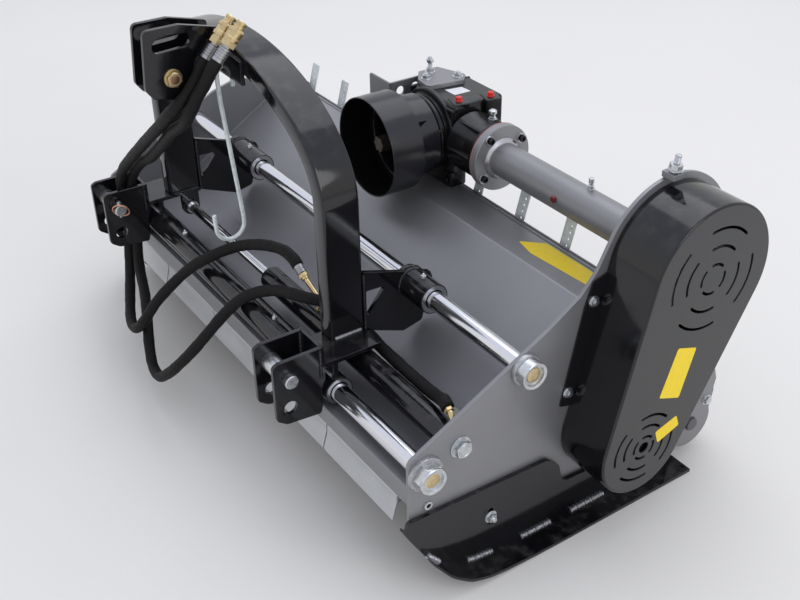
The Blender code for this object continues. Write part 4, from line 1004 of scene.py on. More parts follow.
class MULCHER_OT_skids(Dress):
    """Make the skids: web, curved sole, stitch welds and the adjusting bolt"""
    bl_idname = "mulcher.skids"
    bl_label = "Skids"

    def execute(self, context):
        for name, side in SIDES:
            self.skid(f"skid_{name}", side)
        return {"FINISHED"}

    def skid(self, name, side):
        shape = Shape(name, "gloss_black")
        web_line = rounded(((-0.261, 0.191, 0.006), (-0.268, 0.165, 0.006), (-0.246, 0.125, 0.06),
            (-0.224, 0.09, 0.06), (-0.192, 0.052, 0.06), (-0.154, 0.027, 0.06),
            (-0.11, 0.0145, 0.1), (-0.071, 0.0095, 0.2), (0.003, 0.0055, 0.2), (0.08, 0.004, 0.0),
            (0.405, 0.004, 0.0), (0.405, 0.085, 0.015), (0.105, 0.1, 0.02), (0.094, 0.15, 0.03),
            (0.063, 0.178, 0.02)))
        slot = rounded(((-0.081, 0.088, 0.0058), (-0.069, 0.088, 0.0058), (-0.069, 0.128, 0.0058),
            (-0.081, 0.128, 0.0058)))
        span = sorted((side * FACE, side * (FACE + 0.01)))
        shape.add(plate([web_line, slot], span, edge=0.0012))
        shape.add(self.sole(side))
        out = side * (FACE + 0.01)
        stitches = ((-0.222, -0.196), (-0.13, -0.07), (0.002, 0.078), (0.132, 0.222), (0.26, 0.31),
            (0.345, 0.385))
        for start, end in stitches:
            steps = [start + (end - start) * i / 12 for i in range(13)]
            shape.add(bead([(out + side * 0.0012, y, self.rise(y) + 0.0055) for y in steps],
                0.0047, 2.0), "weld")
        shape.bolt((out, -0.075, 0.108), X_AXIS * side, 0.0098, 0.007, washer=0.0135, end=0.006)
        shape.place("mower", "gloss_black")

    def rise(self, y):
        """Height of the sole's middle at y."""
        for (y0, z0), (y1, z1) in zip(SOLE_LINE, SOLE_LINE[1:]):
            if y0 <= y <= y1:
                return z0 + (z1 - z0) * (y - y0) / (y1 - y0)
        return SOLE_LINE[-1][1]

    def sole(self, side):
        """Curved sheet with a rounded front corner, then its thickness and edges."""
        line = rounded([(y, z, 0.05) for y, z in SOLE_LINE[:7]] + [(0.36, 0.004), (0.363, 0.004),
            (0.426, 0.004)], open_line=True)
        line = [(p.y, p.z) for p in evenly([(0.0, y, z) for y, z in line], 0.006)]
        last = len(line) - 1
        form = bmesh.new()
        bmesh.ops.create_grid(form, x_segments=1, y_segments=last, size=0.5)
        for vert in form.verts:
            y, z = line[round((vert.co.y + 0.5) * last)]
            lean = min(1.0, max(0.0, (y + 0.224) / 0.115))
            outer = 0.7 + 0.04 * math.sqrt(max(0.0, 1 - (1 - lean) ** 2.2))
            inner = 0.6 - 0.02 * lean if y < 0.361 else PLATE_OUT + 0.0005
            vert.co = (outer if vert.co.x > 0.0 else inner, y, z - 0.004)
        bmesh.ops.solidify(form, geom=form.faces[:], thickness=-0.008)
        rim = [edge for edge in form.edges if edge.calc_face_angle(0.0) > 1.0]
        bevelled(form, rim, 0.0012, clamp=True)
        bmesh.ops.scale(form, vec=(side, 1.0, 1.0), verts=form.verts)
        return settled(form)


class MULCHER_OT_roller(Dress):
    """Turn the rear roller and cut its brackets"""
    bl_idname = "mulcher.roller"
    bl_label = "Rear roller"

    def execute(self, context):
        end = 0.655
        half = [(0.0, 0.693), (0.014, 0.693), (0.015, 0.692), (0.015, end - 0.004),
            (0.03, end - 0.004), (0.032, end), (0.06, end), (0.075, end - 0.004)]
        profile = half + [(radius, -height) for radius, height in reversed(half)]
        roller = Shape("rear_roller", "dark_grey")
        roller.add(cross_lathe(profile, ROLLER, 96, edge=0.0015))
        for side in (-1, 1):
            ring = circle((0.0, 0.0), 0.0335, 72)
            roller.add(bead([(side * (end + 0.0005), ROLLER[0] + u, ROLLER[1] + v)
                for u, v in ring + ring[:1]], 0.0022), "weld")
        roller.place("roller", "satin_grey")
        line = arc(ROLLER, 0.058, 200.0, 380.0, 48)
        line += rounded([(0.532, 0.14, 0.0), (0.505, 0.215, 0.02), (0.455, 0.245, 0.018),
            (0.42, 0.22, 0.02), (0.412, 0.13, 0.0)], open_line=True)
        for name, side in SIDES:
            shape = Shape(f"roller_bracket_{name}", "steel_grey")
            span = sorted((side * FACE, side * (FACE + 0.008)))
            shape.add(plate([line, circle(ROLLER, 0.0155)], span))
            for axis in ((0.512, 0.121), (0.455, 0.205)):
                shape.bolt((side * (FACE + 0.008), *axis), X_AXIS * side, 0.01, 0.0062,
                    washer=0.0125)
            shape.place("mower", "steel_grey")
        return {"FINISHED"}


class MULCHER_OT_rotor(Dress):
    """Give rotor, hammers and belt drive their finishes and turn the bearing housings"""
    bl_idname = "mulcher.rotor"
    bl_label = "Rotor and belt drive"

    def execute(self, context):
        kept = {"rotor_drum": "forged", "upper_pulley": "machined", "lower_pulley": "machined",
            "drive_belt": "rubber", "drive_shaft": "machined"}
        kept.update({f"hammer_{i + 1}": "forged" for i in range(8)})
        for name, look in kept.items():
            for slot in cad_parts[name].material_slots:
                slot.material = finish(look)
        bore = 0.018
        drive = Shape("rotor_bearing_drive", "casting")
        drive.add(cross_lathe([(0.036, FACE + 0.024), (0.04, FACE + 0.012), (0.06, FACE + 0.01),
            (0.06, FACE), (bore, FACE), (bore, FACE + 0.024)], ROTOR, ring=True))
        drive.place("mower", "casting")
        idle = Shape("rotor_bearing_idle", "casting")
        idle.add(cross_lathe([(0.0, -FACE - 0.034), (bore, -FACE - 0.034), (bore, -FACE),
            (0.06, -FACE), (0.06, -FACE - 0.012), (0.04, -FACE - 0.015), (0.036, -FACE - 0.038),
            (0.02, -FACE - 0.04), (0.0, -FACE - 0.04)], ROTOR, edge=0.001))
        for degrees in range(45, 405, 90):
            y, z = spot(ROTOR, 0.049, degrees)
            idle.bolt((-FACE - 0.0115, y, z), -X_AXIS, 0.008, 0.006, end=0.003)
        idle.add(lathe([(0.0, 0.01), (0.003, 0.01), (0.0035, 0.0)], (-FACE - 0.028, ROTOR[0],
            ROTOR[1] + 0.036), Z_AXIS, 16), "zinc")
        idle.place("mower", "casting")
        return {"FINISHED"}


class MULCHER_OT_belt_cover(Dress):
    """Form the deep belt cover with its slots, lip, bolts and bare yellow patches"""
    bl_idname = "mulcher.belt_cover"
    bl_label = "Belt cover"

    def execute(self, context):
        back, front = COVER_X
        shape = Shape("belt_cover", "gloss_black")
        shape.add(self.wall(back, front))
        round_edge = sizes().cover_corner
        vents = []
        for radius in (0.03, 0.066, 0.102):
            vents += self.ring(DRIVE, radius)
        for radius in (0.025, 0.05, 0.0735):
            vents += self.ring(ROTOR, radius)
        vents.append(circle(ROTOR, 0.012))
        outline = belt_line(COVER_TOP - round_edge + 0.0002, COVER_LOW - round_edge + 0.0002)
        # The face plate's grey is a painted reflection.
        shape.add(plate([outline] + vents, (front - COVER_WALL, front), edge=0.0005), "painted_sheen_face")
        lip = rounded(((0.148, 0.548, 0.003), (0.132, 0.5, 0.02), (0.0885, 0.291, 0.003),
            (0.112, 0.284, 0.0), (0.19, 0.284, 0.0), (0.2, 0.56, 0.0)))
        shape.add(plate([lip], (PLATE_OUT + 0.0005, back + 0.0025), edge=0.0006))
        for axis in ((0.152, 0.505), (0.106, 0.318)):
            shape.bolt((back + 0.002, *axis), X_AXIS, 0.0088, 0.0058, washer=0.0115, end=0.0015)
        patches = (((0.264, 0.421), (0.314, 0.403), (0.284, 0.299), (0.23, 0.321)),
            ((0.232, 0.239), (0.286, 0.255), (0.296, 0.228), (0.242, 0.209)))
        for corners in patches:
            line = rounded([(y, z, 0.004) for y, z in corners])
            shape.add(plate([line], (front - 0.0002, front + 0.0004), edge=0.0001), "patch_yellow")
        shape.place("mower", "gloss_black")
        return {"FINISHED"}

    def wall(self, back, front):
        """Drawn wall: outlines bridged over the rounded edge and back inside."""
        corner = sizes().cover_corner
        steps = [(back, 0.0), (front - corner, 0.0)]
        for i in range(1, 7):
            angle = math.radians(15 * i)
            steps.append((front - corner + corner * math.sin(angle),
                corner - corner * math.cos(angle)))
        steps += [(front - COVER_WALL, corner), (front - corner, COVER_WALL), (back, COVER_WALL)]
        form = bmesh.new()
        rings = []
        for x, inset in steps:
            loop = [form.verts.new((x, y, z))
                for y, z in belt_line(COVER_TOP - inset, COVER_LOW - inset)]
            rings.append([form.edges.new(pair) for pair in zip(loop, loop[1:] + loop[:1])])
        for near, far in zip(rings, rings[1:] + rings[:1]):
            bmesh.ops.bridge_loops(form, edges=near + far)
        return settled(form)

    def ring(self, centre, radius):
        """Slots of one ring, with rounded ends and bridges between them."""
        half = 0.0028
        loops = []
        bridge = 17.0
        for i in range(4):
            start, end = i * 90 + 27 + bridge, i * 90 + 117 - bridge
            count = 18
            loop = arc(centre, radius + half, start, end, count)
            tip = spot(centre, radius, end)
            loop += arc(tip, half, end, end + 180, 6)[1:-1]
            loop += arc(centre, radius - half, end, start, count)
            tip = spot(centre, radius, start)
            loop += arc(tip, half, start + 180, start + 360, 6)[1:-1]
            loops.append(loop)
        return loops


class MULCHER_OT_tensioner(Dress):
    """Make the belt tensioner: block, long stud and its nuts"""
    bl_idname = "mulcher.tensioner"
    bl_label = "Belt tensioner"

    def execute(self, context):
        low = Vector((0.6675, 0.304, DRIVE[1] + 0.161 + GAP))
        shape = Shape("belt_tensioner", "steel_grey")
        shape.add(block(low, low + Vector((0.031, 0.024, 0.0125)), 0.0015, 3))
        foot = Vector((0.687, 0.316, low.z + 0.012))
        way = Vector((0.1, 0.04, 1.0)).normalized()
        shape.add(thread(0.0064, 0.036, foot, way, 0.0014), "zinc")
        shape.bolt(foot + way * 0.006, way, 0.0128, 0.011, washer=0.0142)
        shape.add(bead([(0.669, 0.3285, low.z + 0.001), (0.676, 0.3285, low.z + 0.001)], 0.0025),
            "weld")
        shape.place("mower", "zinc")
        return {"FINISHED"}


class MULCHER_OT_drive_tube(Dress):
    """Turn the drive tube with flange, gasket, bolts, breather and plug"""
    bl_idname = "mulcher.drive_tube"
    bl_label = "Drive tube"

    def execute(self, context):
        flange = FLANGE_X
        shape = Shape("drive_tube", "steel_grey")
        shape.add(cross_lathe([(TUBE_RADIUS, BETWEEN), (TUBE_RADIUS, flange + 0.012),
            (0.031, flange + 0.012), (0.031, BETWEEN)], DRIVE, 80, ring=True))
        shape.add(cross_lathe([(0.0385, flange + 0.02), (0.05, flange + 0.02),
            (0.0512, flange + 0.0206), (0.0524, flange + 0.02),
            (FLANGE_RADIUS - 0.0012, flange + 0.02), (FLANGE_RADIUS, flange + 0.0188),
            (FLANGE_RADIUS, flange + 0.0022), (0.031, flange + 0.0022), (0.031, flange + 0.019)],
            DRIVE, 96, ring=True))
        shape.add(cross_lathe([(TUBE_RADIUS - 0.001, flange + 0.0275),
            (TUBE_RADIUS + 0.003, flange + 0.0262), (TUBE_RADIUS + 0.0085, flange + 0.0215),
            (TUBE_RADIUS + 0.0095, flange + 0.0195)], DRIVE, 96, edge=0.0015), "machined")
        shape.add(cross_lathe([(FLANGE_RADIUS + 0.0002, flange + 0.0022), (FLANGE_RADIUS + 0.0002,
            flange + 0.0012), (0.04, flange + 0.0012), (0.04, flange + 0.0022)], DRIVE, 96,
            ring=True), "gasket")
        shape.add(cross_lathe([(FLANGE_RADIUS - 0.0006, flange + 0.0012),
            (FLANGE_RADIUS - 0.0006, flange), (0.04, flange), (0.04, flange + 0.0012)], DRIVE, 96,
            ring=True), "machined")
        for degrees in range(35, 395, 90):
            y, z = spot(DRIVE, 0.0615, degrees)
            seat = (flange + 0.02, y, z)
            shape.add(lathe([(0.0, 0.0006), (0.0088, 0.0006), (0.0092, 0.0024), (0.0108, 0.0024),
                (0.0116, 0.0)], seat, X_AXIS, 40), "machined")
            shape.add(lathe([(0.0, 0.004), (0.0036, 0.0042), (0.0042, 0.0096), (0.0064, 0.0098),
                (0.0074, 0.0088), (0.0074, 0.0)], seat, X_AXIS, 32), "black_bolt")
            # Near-black hexagon in each bolt head: painted shade in its socket.
            shape.add(prism(0.0041, 0.0012, (flange + 0.0285, y, z), X_AXIS), "painted_shade_black")
        weld_ring = circle((0.0, 0.0), TUBE_RADIUS + 0.0006, 96)
        shape.add(bead([(BETWEEN - 0.0022, DRIVE[0] + u, DRIVE[1] + v)
            for u, v in weld_ring + weld_ring[:1]], 0.0026))
        top = Vector((0.462, DRIVE[0] + 0.004, DRIVE[1] + TUBE_RADIUS - 0.0015))
        shape.add(prism(0.0078, 0.0075, top, Z_AXIS, 10.0), "zinc")
        shape.add(lathe([(0.0, 0.0285), (0.005, 0.028), (0.0058, 0.0265), (0.0058, 0.018),
            (0.0042, 0.0165), (0.0042, 0.013), (0.0062, 0.012), (0.0062, 0.0085), (0.0048, 0.0075),
            (0.0048, 0.0)], top, Z_AXIS, 40, edge=0.0005), "zinc")
        front = Vector((0.402, DRIVE[0] - TUBE_RADIUS + 0.003, DRIVE[1] + 0.004))
        shape.add(prism(0.0074, 0.0078, front, -Y_AXIS, 12.0), "dark_red")
        shape.add(lathe([(0.0, 0.0085), (0.0052, 0.0085), (0.0056, 0.006)], front, -Y_AXIS, 32),
            "dark_red")
        shape.place("mower", "steel_grey")
        return {"FINISHED"}


class MULCHER_OT_gearbox(Dress):
    """Form the cast gearbox with ribs, bosses, plugs, breather and bare label"""
    bl_idname = "mulcher.gearbox"
    bl_label = "Gearbox"

    def execute(self, context):
        shape = Shape("gearbox_housing", "casting")
        shape.add(block((-0.105, 0.292, 0.458), (0.063, 0.43, 0.63), 0.01, 4))
        shape.add(block((-0.1, 0.287, 0.47), (0.06, 0.3, 0.622), 0.006, 4))
        shape.add(lathe([(0.0, -0.2835), (0.095, -0.2835), (0.0985, -0.286), (0.0985, -0.2945),
            (0.095, -0.2965), (0.0, -0.2965)], INPUT_MIDDLE, -Y_AXIS, 112, edge=0.001))
        shape.add(lathe([(0.0, -0.256), (0.076, -0.256), (0.0795, -0.2595), (0.0795, -0.262),
            (0.085, -0.2635), (0.087, -0.266), (0.087, -0.271), (0.083, -0.2735), (0.088, -0.276),
            (0.088, -0.286), (0.08, -0.296), (0.0, -0.296)], INPUT_MIDDLE, -Y_AXIS, 96,
            edge=0.0008))
        for degrees in range(20, 380, 60):
            x, z = spot(INPUT, 0.0815, degrees)
            shape.bolt((x, 0.264, z), -Y_AXIS, 0.0058, 0.0048, look="black_bolt")
        shape.add(cross_lathe([(0.0, FLANGE_X - GAP), (0.07, FLANGE_X - GAP),
            (0.07, FLANGE_X - 0.012), (0.06, FLANGE_X - 0.02), (0.0535, FLANGE_X - 0.03),
            (0.056, FLANGE_X - 0.05), (0.063, 0.088), (0.068, 0.07), (0.0, 0.06)], DRIVE, 96,
            edge=0.003))
        for degrees in range(60, 420, 60):
            y, z = spot(DRIVE, 0.056, degrees)
            rib = block((0.07, -0.0035, -0.012), (FLANGE_X - 0.014, 0.0035, 0.012), 0.002, 2)
            shape.add(set_at(rib, (0.0, y, z), math.radians(degrees - 90), "X"))
        shape.add(lathe([(0.0, 0.446), (0.04, 0.446), (0.058, 0.445), (0.064, 0.44), (0.064, 0.42),
            (0.0, 0.42)], INPUT_MIDDLE, Y_AXIS, 80, edge=0.0012))
        for degrees in range(30, 390, 60):
            x, z = spot(INPUT, 0.052, degrees)
            shape.bolt((x, 0.4445, z), Y_AXIS, 0.006, 0.0042, look="black_bolt")
        shape.add(block((-0.085, 0.286, 0.4323), (0.06, 0.33, 0.47), 0.004, 3))
        for x in (-0.095, -0.062):
            shape.add(block((x - 0.004, 0.284, 0.476), (x + 0.004, 0.428, 0.6315), 0.003, 3))
        for x in (-0.072, 0.044):
            shape.bolt((x, 0.2862, 0.45), -Y_AXIS, 0.0085, 0.006, look="black_bolt")
        for x, y, low in ((0.041, 0.32, 0.475), (0.059, 0.395, 0.578)):
            post = block((-0.022, -0.019, low), (0.021, 0.019, 0.632), 0.0032, 3)
            shape.add(set_at(post, (x, y, 0.0), math.radians(-14.0), "Z"))
            shape.add(lathe([(0.0, 0.01), (0.0056, 0.0098), (0.007, 0.0084), (0.0074, 0.002),
                (0.0088, 0.0016), (0.0088, 0.0)], (x, y, 0.6315), Z_AXIS, 40, edge=0.0005),
                "plug_red")
        for y in (0.3, 0.345, 0.4):
            shape.add(lathe([(0.0, 0.001), (0.0085, 0.001), (0.0092, 0.0)], (0.0625, y, 0.48),
                X_AXIS, 32))
        foot = Vector((0.115, 0.358, 0.596))
        shape.add(lathe([(0.0, 0.003), (0.0125, 0.003), (0.014, -0.02)], foot, Z_AXIS, 32))
        shape.add(prism(0.0104, 0.0085, foot + Z_AXIS * 0.0025, Z_AXIS, 20.0), "zinc")
        shape.add(lathe([(0.0, 0.0315), (0.0055, 0.0312), (0.0088, 0.029), (0.0093, 0.023),
            (0.0055, 0.021), (0.0055, 0.015), (0.0074, 0.014), (0.0074, 0.0115), (0.005, 0.0105)],
            foot, Z_AXIS, 40, edge=0.0005), "zinc")
        label = rounded([(-0.03, 0.333, 0.002), (-0.022, 0.375, 0.002), (0.009, 0.377, 0.002),
            (0.007, 0.334, 0.002)])
        shape.add(plate([label], (0.6298, 0.6304), "XY", 0.0001), "label_white")
        shape.place("mower", "casting")
        return {"FINISHED"}


class MULCHER_OT_gearbox_bracket(Dress):
    """Fold the plate over the gearbox corner and set its bolts"""
    bl_idname = "mulcher.gearbox_bracket"
    bl_label = "Gearbox bracket"

    def execute(self, context):
        shape = Shape("gearbox_bracket", "steel_grey")
        top = rounded([(-0.133, 0.332, 0.004), (-0.095, 0.304, 0.01), (-0.047, 0.297, 0.01),
            (-0.032, 0.388, 0.01), (-0.058, 0.412, 0.01), (-0.133, 0.385, 0.004)])
        shape.add(plate([top], (0.6303, 0.642), "XY", 0.0012))
        side = rounded(((0.248, 0.5, 0.003), (0.4, 0.5, 0.006), (0.4, 0.633, 0.006),
            (0.248, 0.633, 0.003)))
        holes = [circle((0.278, 0.609), 0.0105), circle((0.319, 0.61), 0.0105)]
        shape.add(plate([side] + holes, (-0.133, -0.128)))
        face = rounded(((-0.213, 0.5, 0.006), (-0.128, 0.5, 0.0), (-0.128, 0.633, 0.0),
            (-0.213, 0.633, 0.006)))
        shape.add(plate([face], (0.248, 0.253), "XZ"))
        for x, y, height in ((-0.087, 0.322, 0.004), (-0.116, 0.353, 0.026),
                (-0.055, 0.388, 0.004)):
            shape.bolt((x, y, 0.6418), Z_AXIS, 0.0098, 0.0075, washer=0.0125, end=height)
        shape.bolt((-0.116, 0.353, 0.666), Z_AXIS, 0.009, 0.007, end=0.005)
        shape.add(bead([(-0.1335, 0.254, 0.502), (-0.1335, 0.254, 0.631)], 0.0024))
        shape.place("mower", "steel_grey")
        return {"FINISHED"}


class MULCHER_OT_input(Dress):
    """Turn the round guard and cut the splines of the input shaft"""
    bl_idname = "mulcher.input"
    bl_label = "Guard and input shaft"

    def execute(self, context):
        shape = Shape("pto_guard", "painted_shade_black")
        profile = [(0.113, -0.16), (0.113, -0.1972), (0.1124, -0.1986), (0.1108, -0.1992),
            (0.0975, -0.1998), (0.0966, -0.2008), (0.096, -0.218), (0.0954, -0.229),
            (0.0925, -0.23), (0.092, -0.2557), (0.03, -0.2557), (0.03, -0.252), (0.089, -0.252),
            (0.0935, -0.209), (0.11, -0.196), (0.1098, -0.1192), (0.1104, -0.1182),
            (0.1114, -0.1178), (0.1124, -0.1182), (0.113, -0.1192)]
        shape.add(lathe(profile, INPUT_MIDDLE, -Y_AXIS, 128, ring=True), "plastic")
        # Thin near-black lining just inside the plastic: painted shade in the guard's hollow.
        shape.add(lathe([(0.1094, -0.123), (0.1094, -0.1945), (0.0932, -0.208), (0.0884, -0.2512),
            (0.031, -0.2512), (0.031, -0.2518), (0.0888, -0.2518), (0.0936, -0.2086),
            (0.1098, -0.195), (0.1098, -0.123)], INPUT_MIDDLE, -Y_AXIS, 96, ring=True))
        # The notch is a near-black triangle through the wall: painted shade.
        notch = plate([[(-0.0075, 0.2006), (0.008, 0.2012), (-0.0055, 0.232)]], (-0.004, 0.0042),
            "XY", 0.0006)
        x, z = spot(INPUT, 0.0925, NOTCH_DEGREES)
        shape.add(set_at(notch, (x, 0.0, z), math.radians(90.0 - NOTCH_DEGREES), "Y"))
        for degrees in range(0, 360, 60):
            x, z = spot(INPUT, 0.06, degrees)
            shape.bolt((x, 0.2512, z), -Y_AXIS, 0.0062, 0.004, look="black_bolt", washer=0.008)
        shape.place("mower", "plastic_black")
        shaft = Shape("input_shaft", "forged")
        loop = []
        for i in range(6):
            lean = i * 60
            loop += arc(INPUT, 0.0175, lean - 13, lean + 13, 5)
            loop += arc(INPUT, 0.0148, lean + 18, lean + 42, 5)
        shaft.add(plate([loop], (0.15, 0.225), "XZ", 0.0008))
        shaft.add(lathe([(0.0, -0.196), (0.0178, -0.196), (0.0178, -0.2557), (0.0, -0.2557)],
            INPUT_MIDDLE, -Y_AXIS, 48, edge=0.0008))
        shaft.place("input", "zinc")
        return {"FINISHED"}


class MULCHER_OT_rake(Dress):
    """Cut the perforated strips behind the hood and their bar"""
    bl_idname = "mulcher.rake"
    bl_label = "Rake strips"

    def execute(self, context):
        shape = Shape("rake_bar", "galvanised")
        shape.add(block((-BETWEEN, 0.3805, 0.342), (BETWEEN, 0.4005, 0.362), 0.0018, 3))
        for i in range(RAKE_COUNT):
            x = RAKE_FIRST + RAKE_PITCH * i
            near_box = abs(x + 0.016) < 0.095
            near_neck = 0.065 < x < 0.125
            start = 0.446 if near_box else 0.47 if near_neck else 0.492
            self.strip(shape, x, start)
        shape.place("mower", "zinc")
        return {"FINISHED"}

    def strip(self, shape, x, start):
        (y0, z0), (y1, z1), (y2, z2), (y3, z3) = RAKE_LINE
        share = (start - z1) / (z0 - z1)
        top = (y1 + (y0 - y1) * share, start)
        runs = ((top, (y1, z1)), ((y1, z1), (y2, z2)), ((y2, z2), (y3, z3)))
        for (ya, za), (yb, zb) in runs:
            foot, head = Vector((0.0, yb, zb)), Vector((0.0, ya, za))
            length = (head - foot).length
            line = rounded(((x - 0.015, 0.0, 0.001), (x + 0.015, 0.0, 0.001),
                (x + 0.015, length, 0.001), (x - 0.015, length, 0.001)))
            count = max(1, int((length - 0.008) / 0.0125))
            holes = [circle((x + 0.004, (j + 0.5) * length / count), sizes().strip_hole, 16)
                for j in range(count)] if length > 0.012 else []
            flat = plate([line] + holes, (-0.0012, 0.0012), "XY", 0.0004)
            up = (head - foot).normalized()
            turn = Matrix((X_AXIS, up, X_AXIS.cross(up))).transposed().to_4x4()
            place = Matrix.Translation(foot) @ turn
            shape.add(moved(flat, place))
            edge = block((x - 0.015, 0.0, -0.0024), (x - 0.013, length, 0.0024), 0.0004)
            shape.add(moved(edge, place))


class MULCHER_OT_headstock(Dress):
    """Bend the arch and make the top link clevis with its bolt"""
    bl_idname = "mulcher.headstock"
    bl_label = "Headstock"

    def execute(self, context):
        rise = ARCH_TOP - ARCH_SPRING
        inner_half = ARCH_HALF - ARCH_WALL
        loop = [(HEAD_X + ARCH_HALF, ARCH_FOOT)] + arch_curve(ARCH_HALF, rise)
        loop += [(HEAD_X - ARCH_HALF, ARCH_FOOT), (HEAD_X - inner_half, ARCH_FOOT)]
        loop += arch_curve(inner_half, rise - ARCH_WALL)[::-1]
        loop += [(HEAD_X + inner_half, ARCH_FOOT)]
        arch = Shape("headstock_arch", "gloss_black")
        arch.add(plate([loop], (ARCH_FRONT, ARCH_REAR), "XZ", sizes().arch_corner))
        for side in (-1, 1):
            inside = HEAD_X + side * inner_half
            arch.add(bead([(inside - side * 0.001, ARCH_FRONT + 0.008, ARCH_FOOT + 0.002),
                (inside - side * 0.001, ARCH_REAR - 0.008, ARCH_FOOT + 0.002)]))
        arch.place("headstock", "gloss_black")
        self.clevis()
        return {"FINISHED"}

    def clevis(self):
        line = rounded(((-0.357, 0.785, 0.012), (-0.348, 0.9, 0.012), (-0.276, 0.9, 0.01),
            (-0.1965, 0.88, 0.006), (-0.1965, 0.85, 0.002), (-0.2035, 0.85, 0.002),
            (-0.214, 0.787, 0.006), (-0.251, 0.744, 0.01), (-0.343, 0.765, 0.012)))
        slot = rounded(((-0.333, 0.852, 0.0125), (-0.257, 0.856, 0.0125), (-0.257, 0.882, 0.0125),
            (-0.333, 0.878, 0.0125)))
        shape = Shape("top_link_clevis", "gloss_black")
        for offset in (-0.025, 0.025):
            x = HEAD_X + offset
            shape.add(plate([line, slot, circle(TOP_BOLT, 0.013)], (x - 0.005, x + 0.005)))
            for side in (-1, 1):
                shape.add(bead([(x + side * 0.0055, -0.2032, 0.8),
                    (x + side * 0.0055, -0.2032, 0.838)]))
        back = [[(-0.113, 0.791), (0.05, 0.791), (0.05, 0.838), (-0.113, 0.848)],
            circle((-0.033, 0.8065), 0.0068)]
        shape.add(plate(back, (ARCH_FRONT - 0.0083, ARCH_FRONT - GAP), "XZ"))
        shape.add(block((HEAD_X - 0.024, -0.24, 0.795), (HEAD_X + 0.024, ARCH_FRONT - 0.004, 0.84),
            0.0015))
        shape.add(bead([(-0.108, ARCH_FRONT - 0.003, 0.8395), (-0.06, ARCH_FRONT - 0.003, 0.844),
            (0.046, ARCH_FRONT - 0.003, 0.8375)], 0.003))
        shape.place("headstock", "gloss_black")
        low, high = HEAD_X - 0.03, HEAD_X + 0.03
        bolt = Shape("top_link_bolt", "yellow_zinc")
        bolt.add(cross_lathe([(0.0, high + 0.002), (0.0125, high + 0.002), (0.0125, low - 0.018),
            (0.0, low - 0.018)], TOP_BOLT, 48, edge=0.001))
        bolt.add(lathe([(0.0, 0.0029), (0.0185, 0.0029), (0.0185, GAP)], (high, *TOP_BOLT), X_AXIS,
            48, edge=0.0006))
        bolt.bolt((high + 0.0025, *TOP_BOLT), X_AXIS, 0.0165, 0.009, look="yellow_zinc")
        face = (high + 0.0115, *TOP_BOLT)
        bolt.add(lathe([(0.0088, 0.0), (0.0096, 0.0014), (0.0128, 0.0014), (0.0138, 0.0)], face,
            X_AXIS, 48, ring=True))
        bolt.add(lathe([(0.0, 0.0012), (0.007, 0.0011), (0.009, 0.0004), (0.009, 0.0)], face,
            X_AXIS, 48), "worn_brown")
        bolt.bolt((low - GAP, *TOP_BOLT), -X_AXIS, 0.0165, 0.0122, look="yellow_zinc")
        bolt.place("headstock", "yellow_zinc")


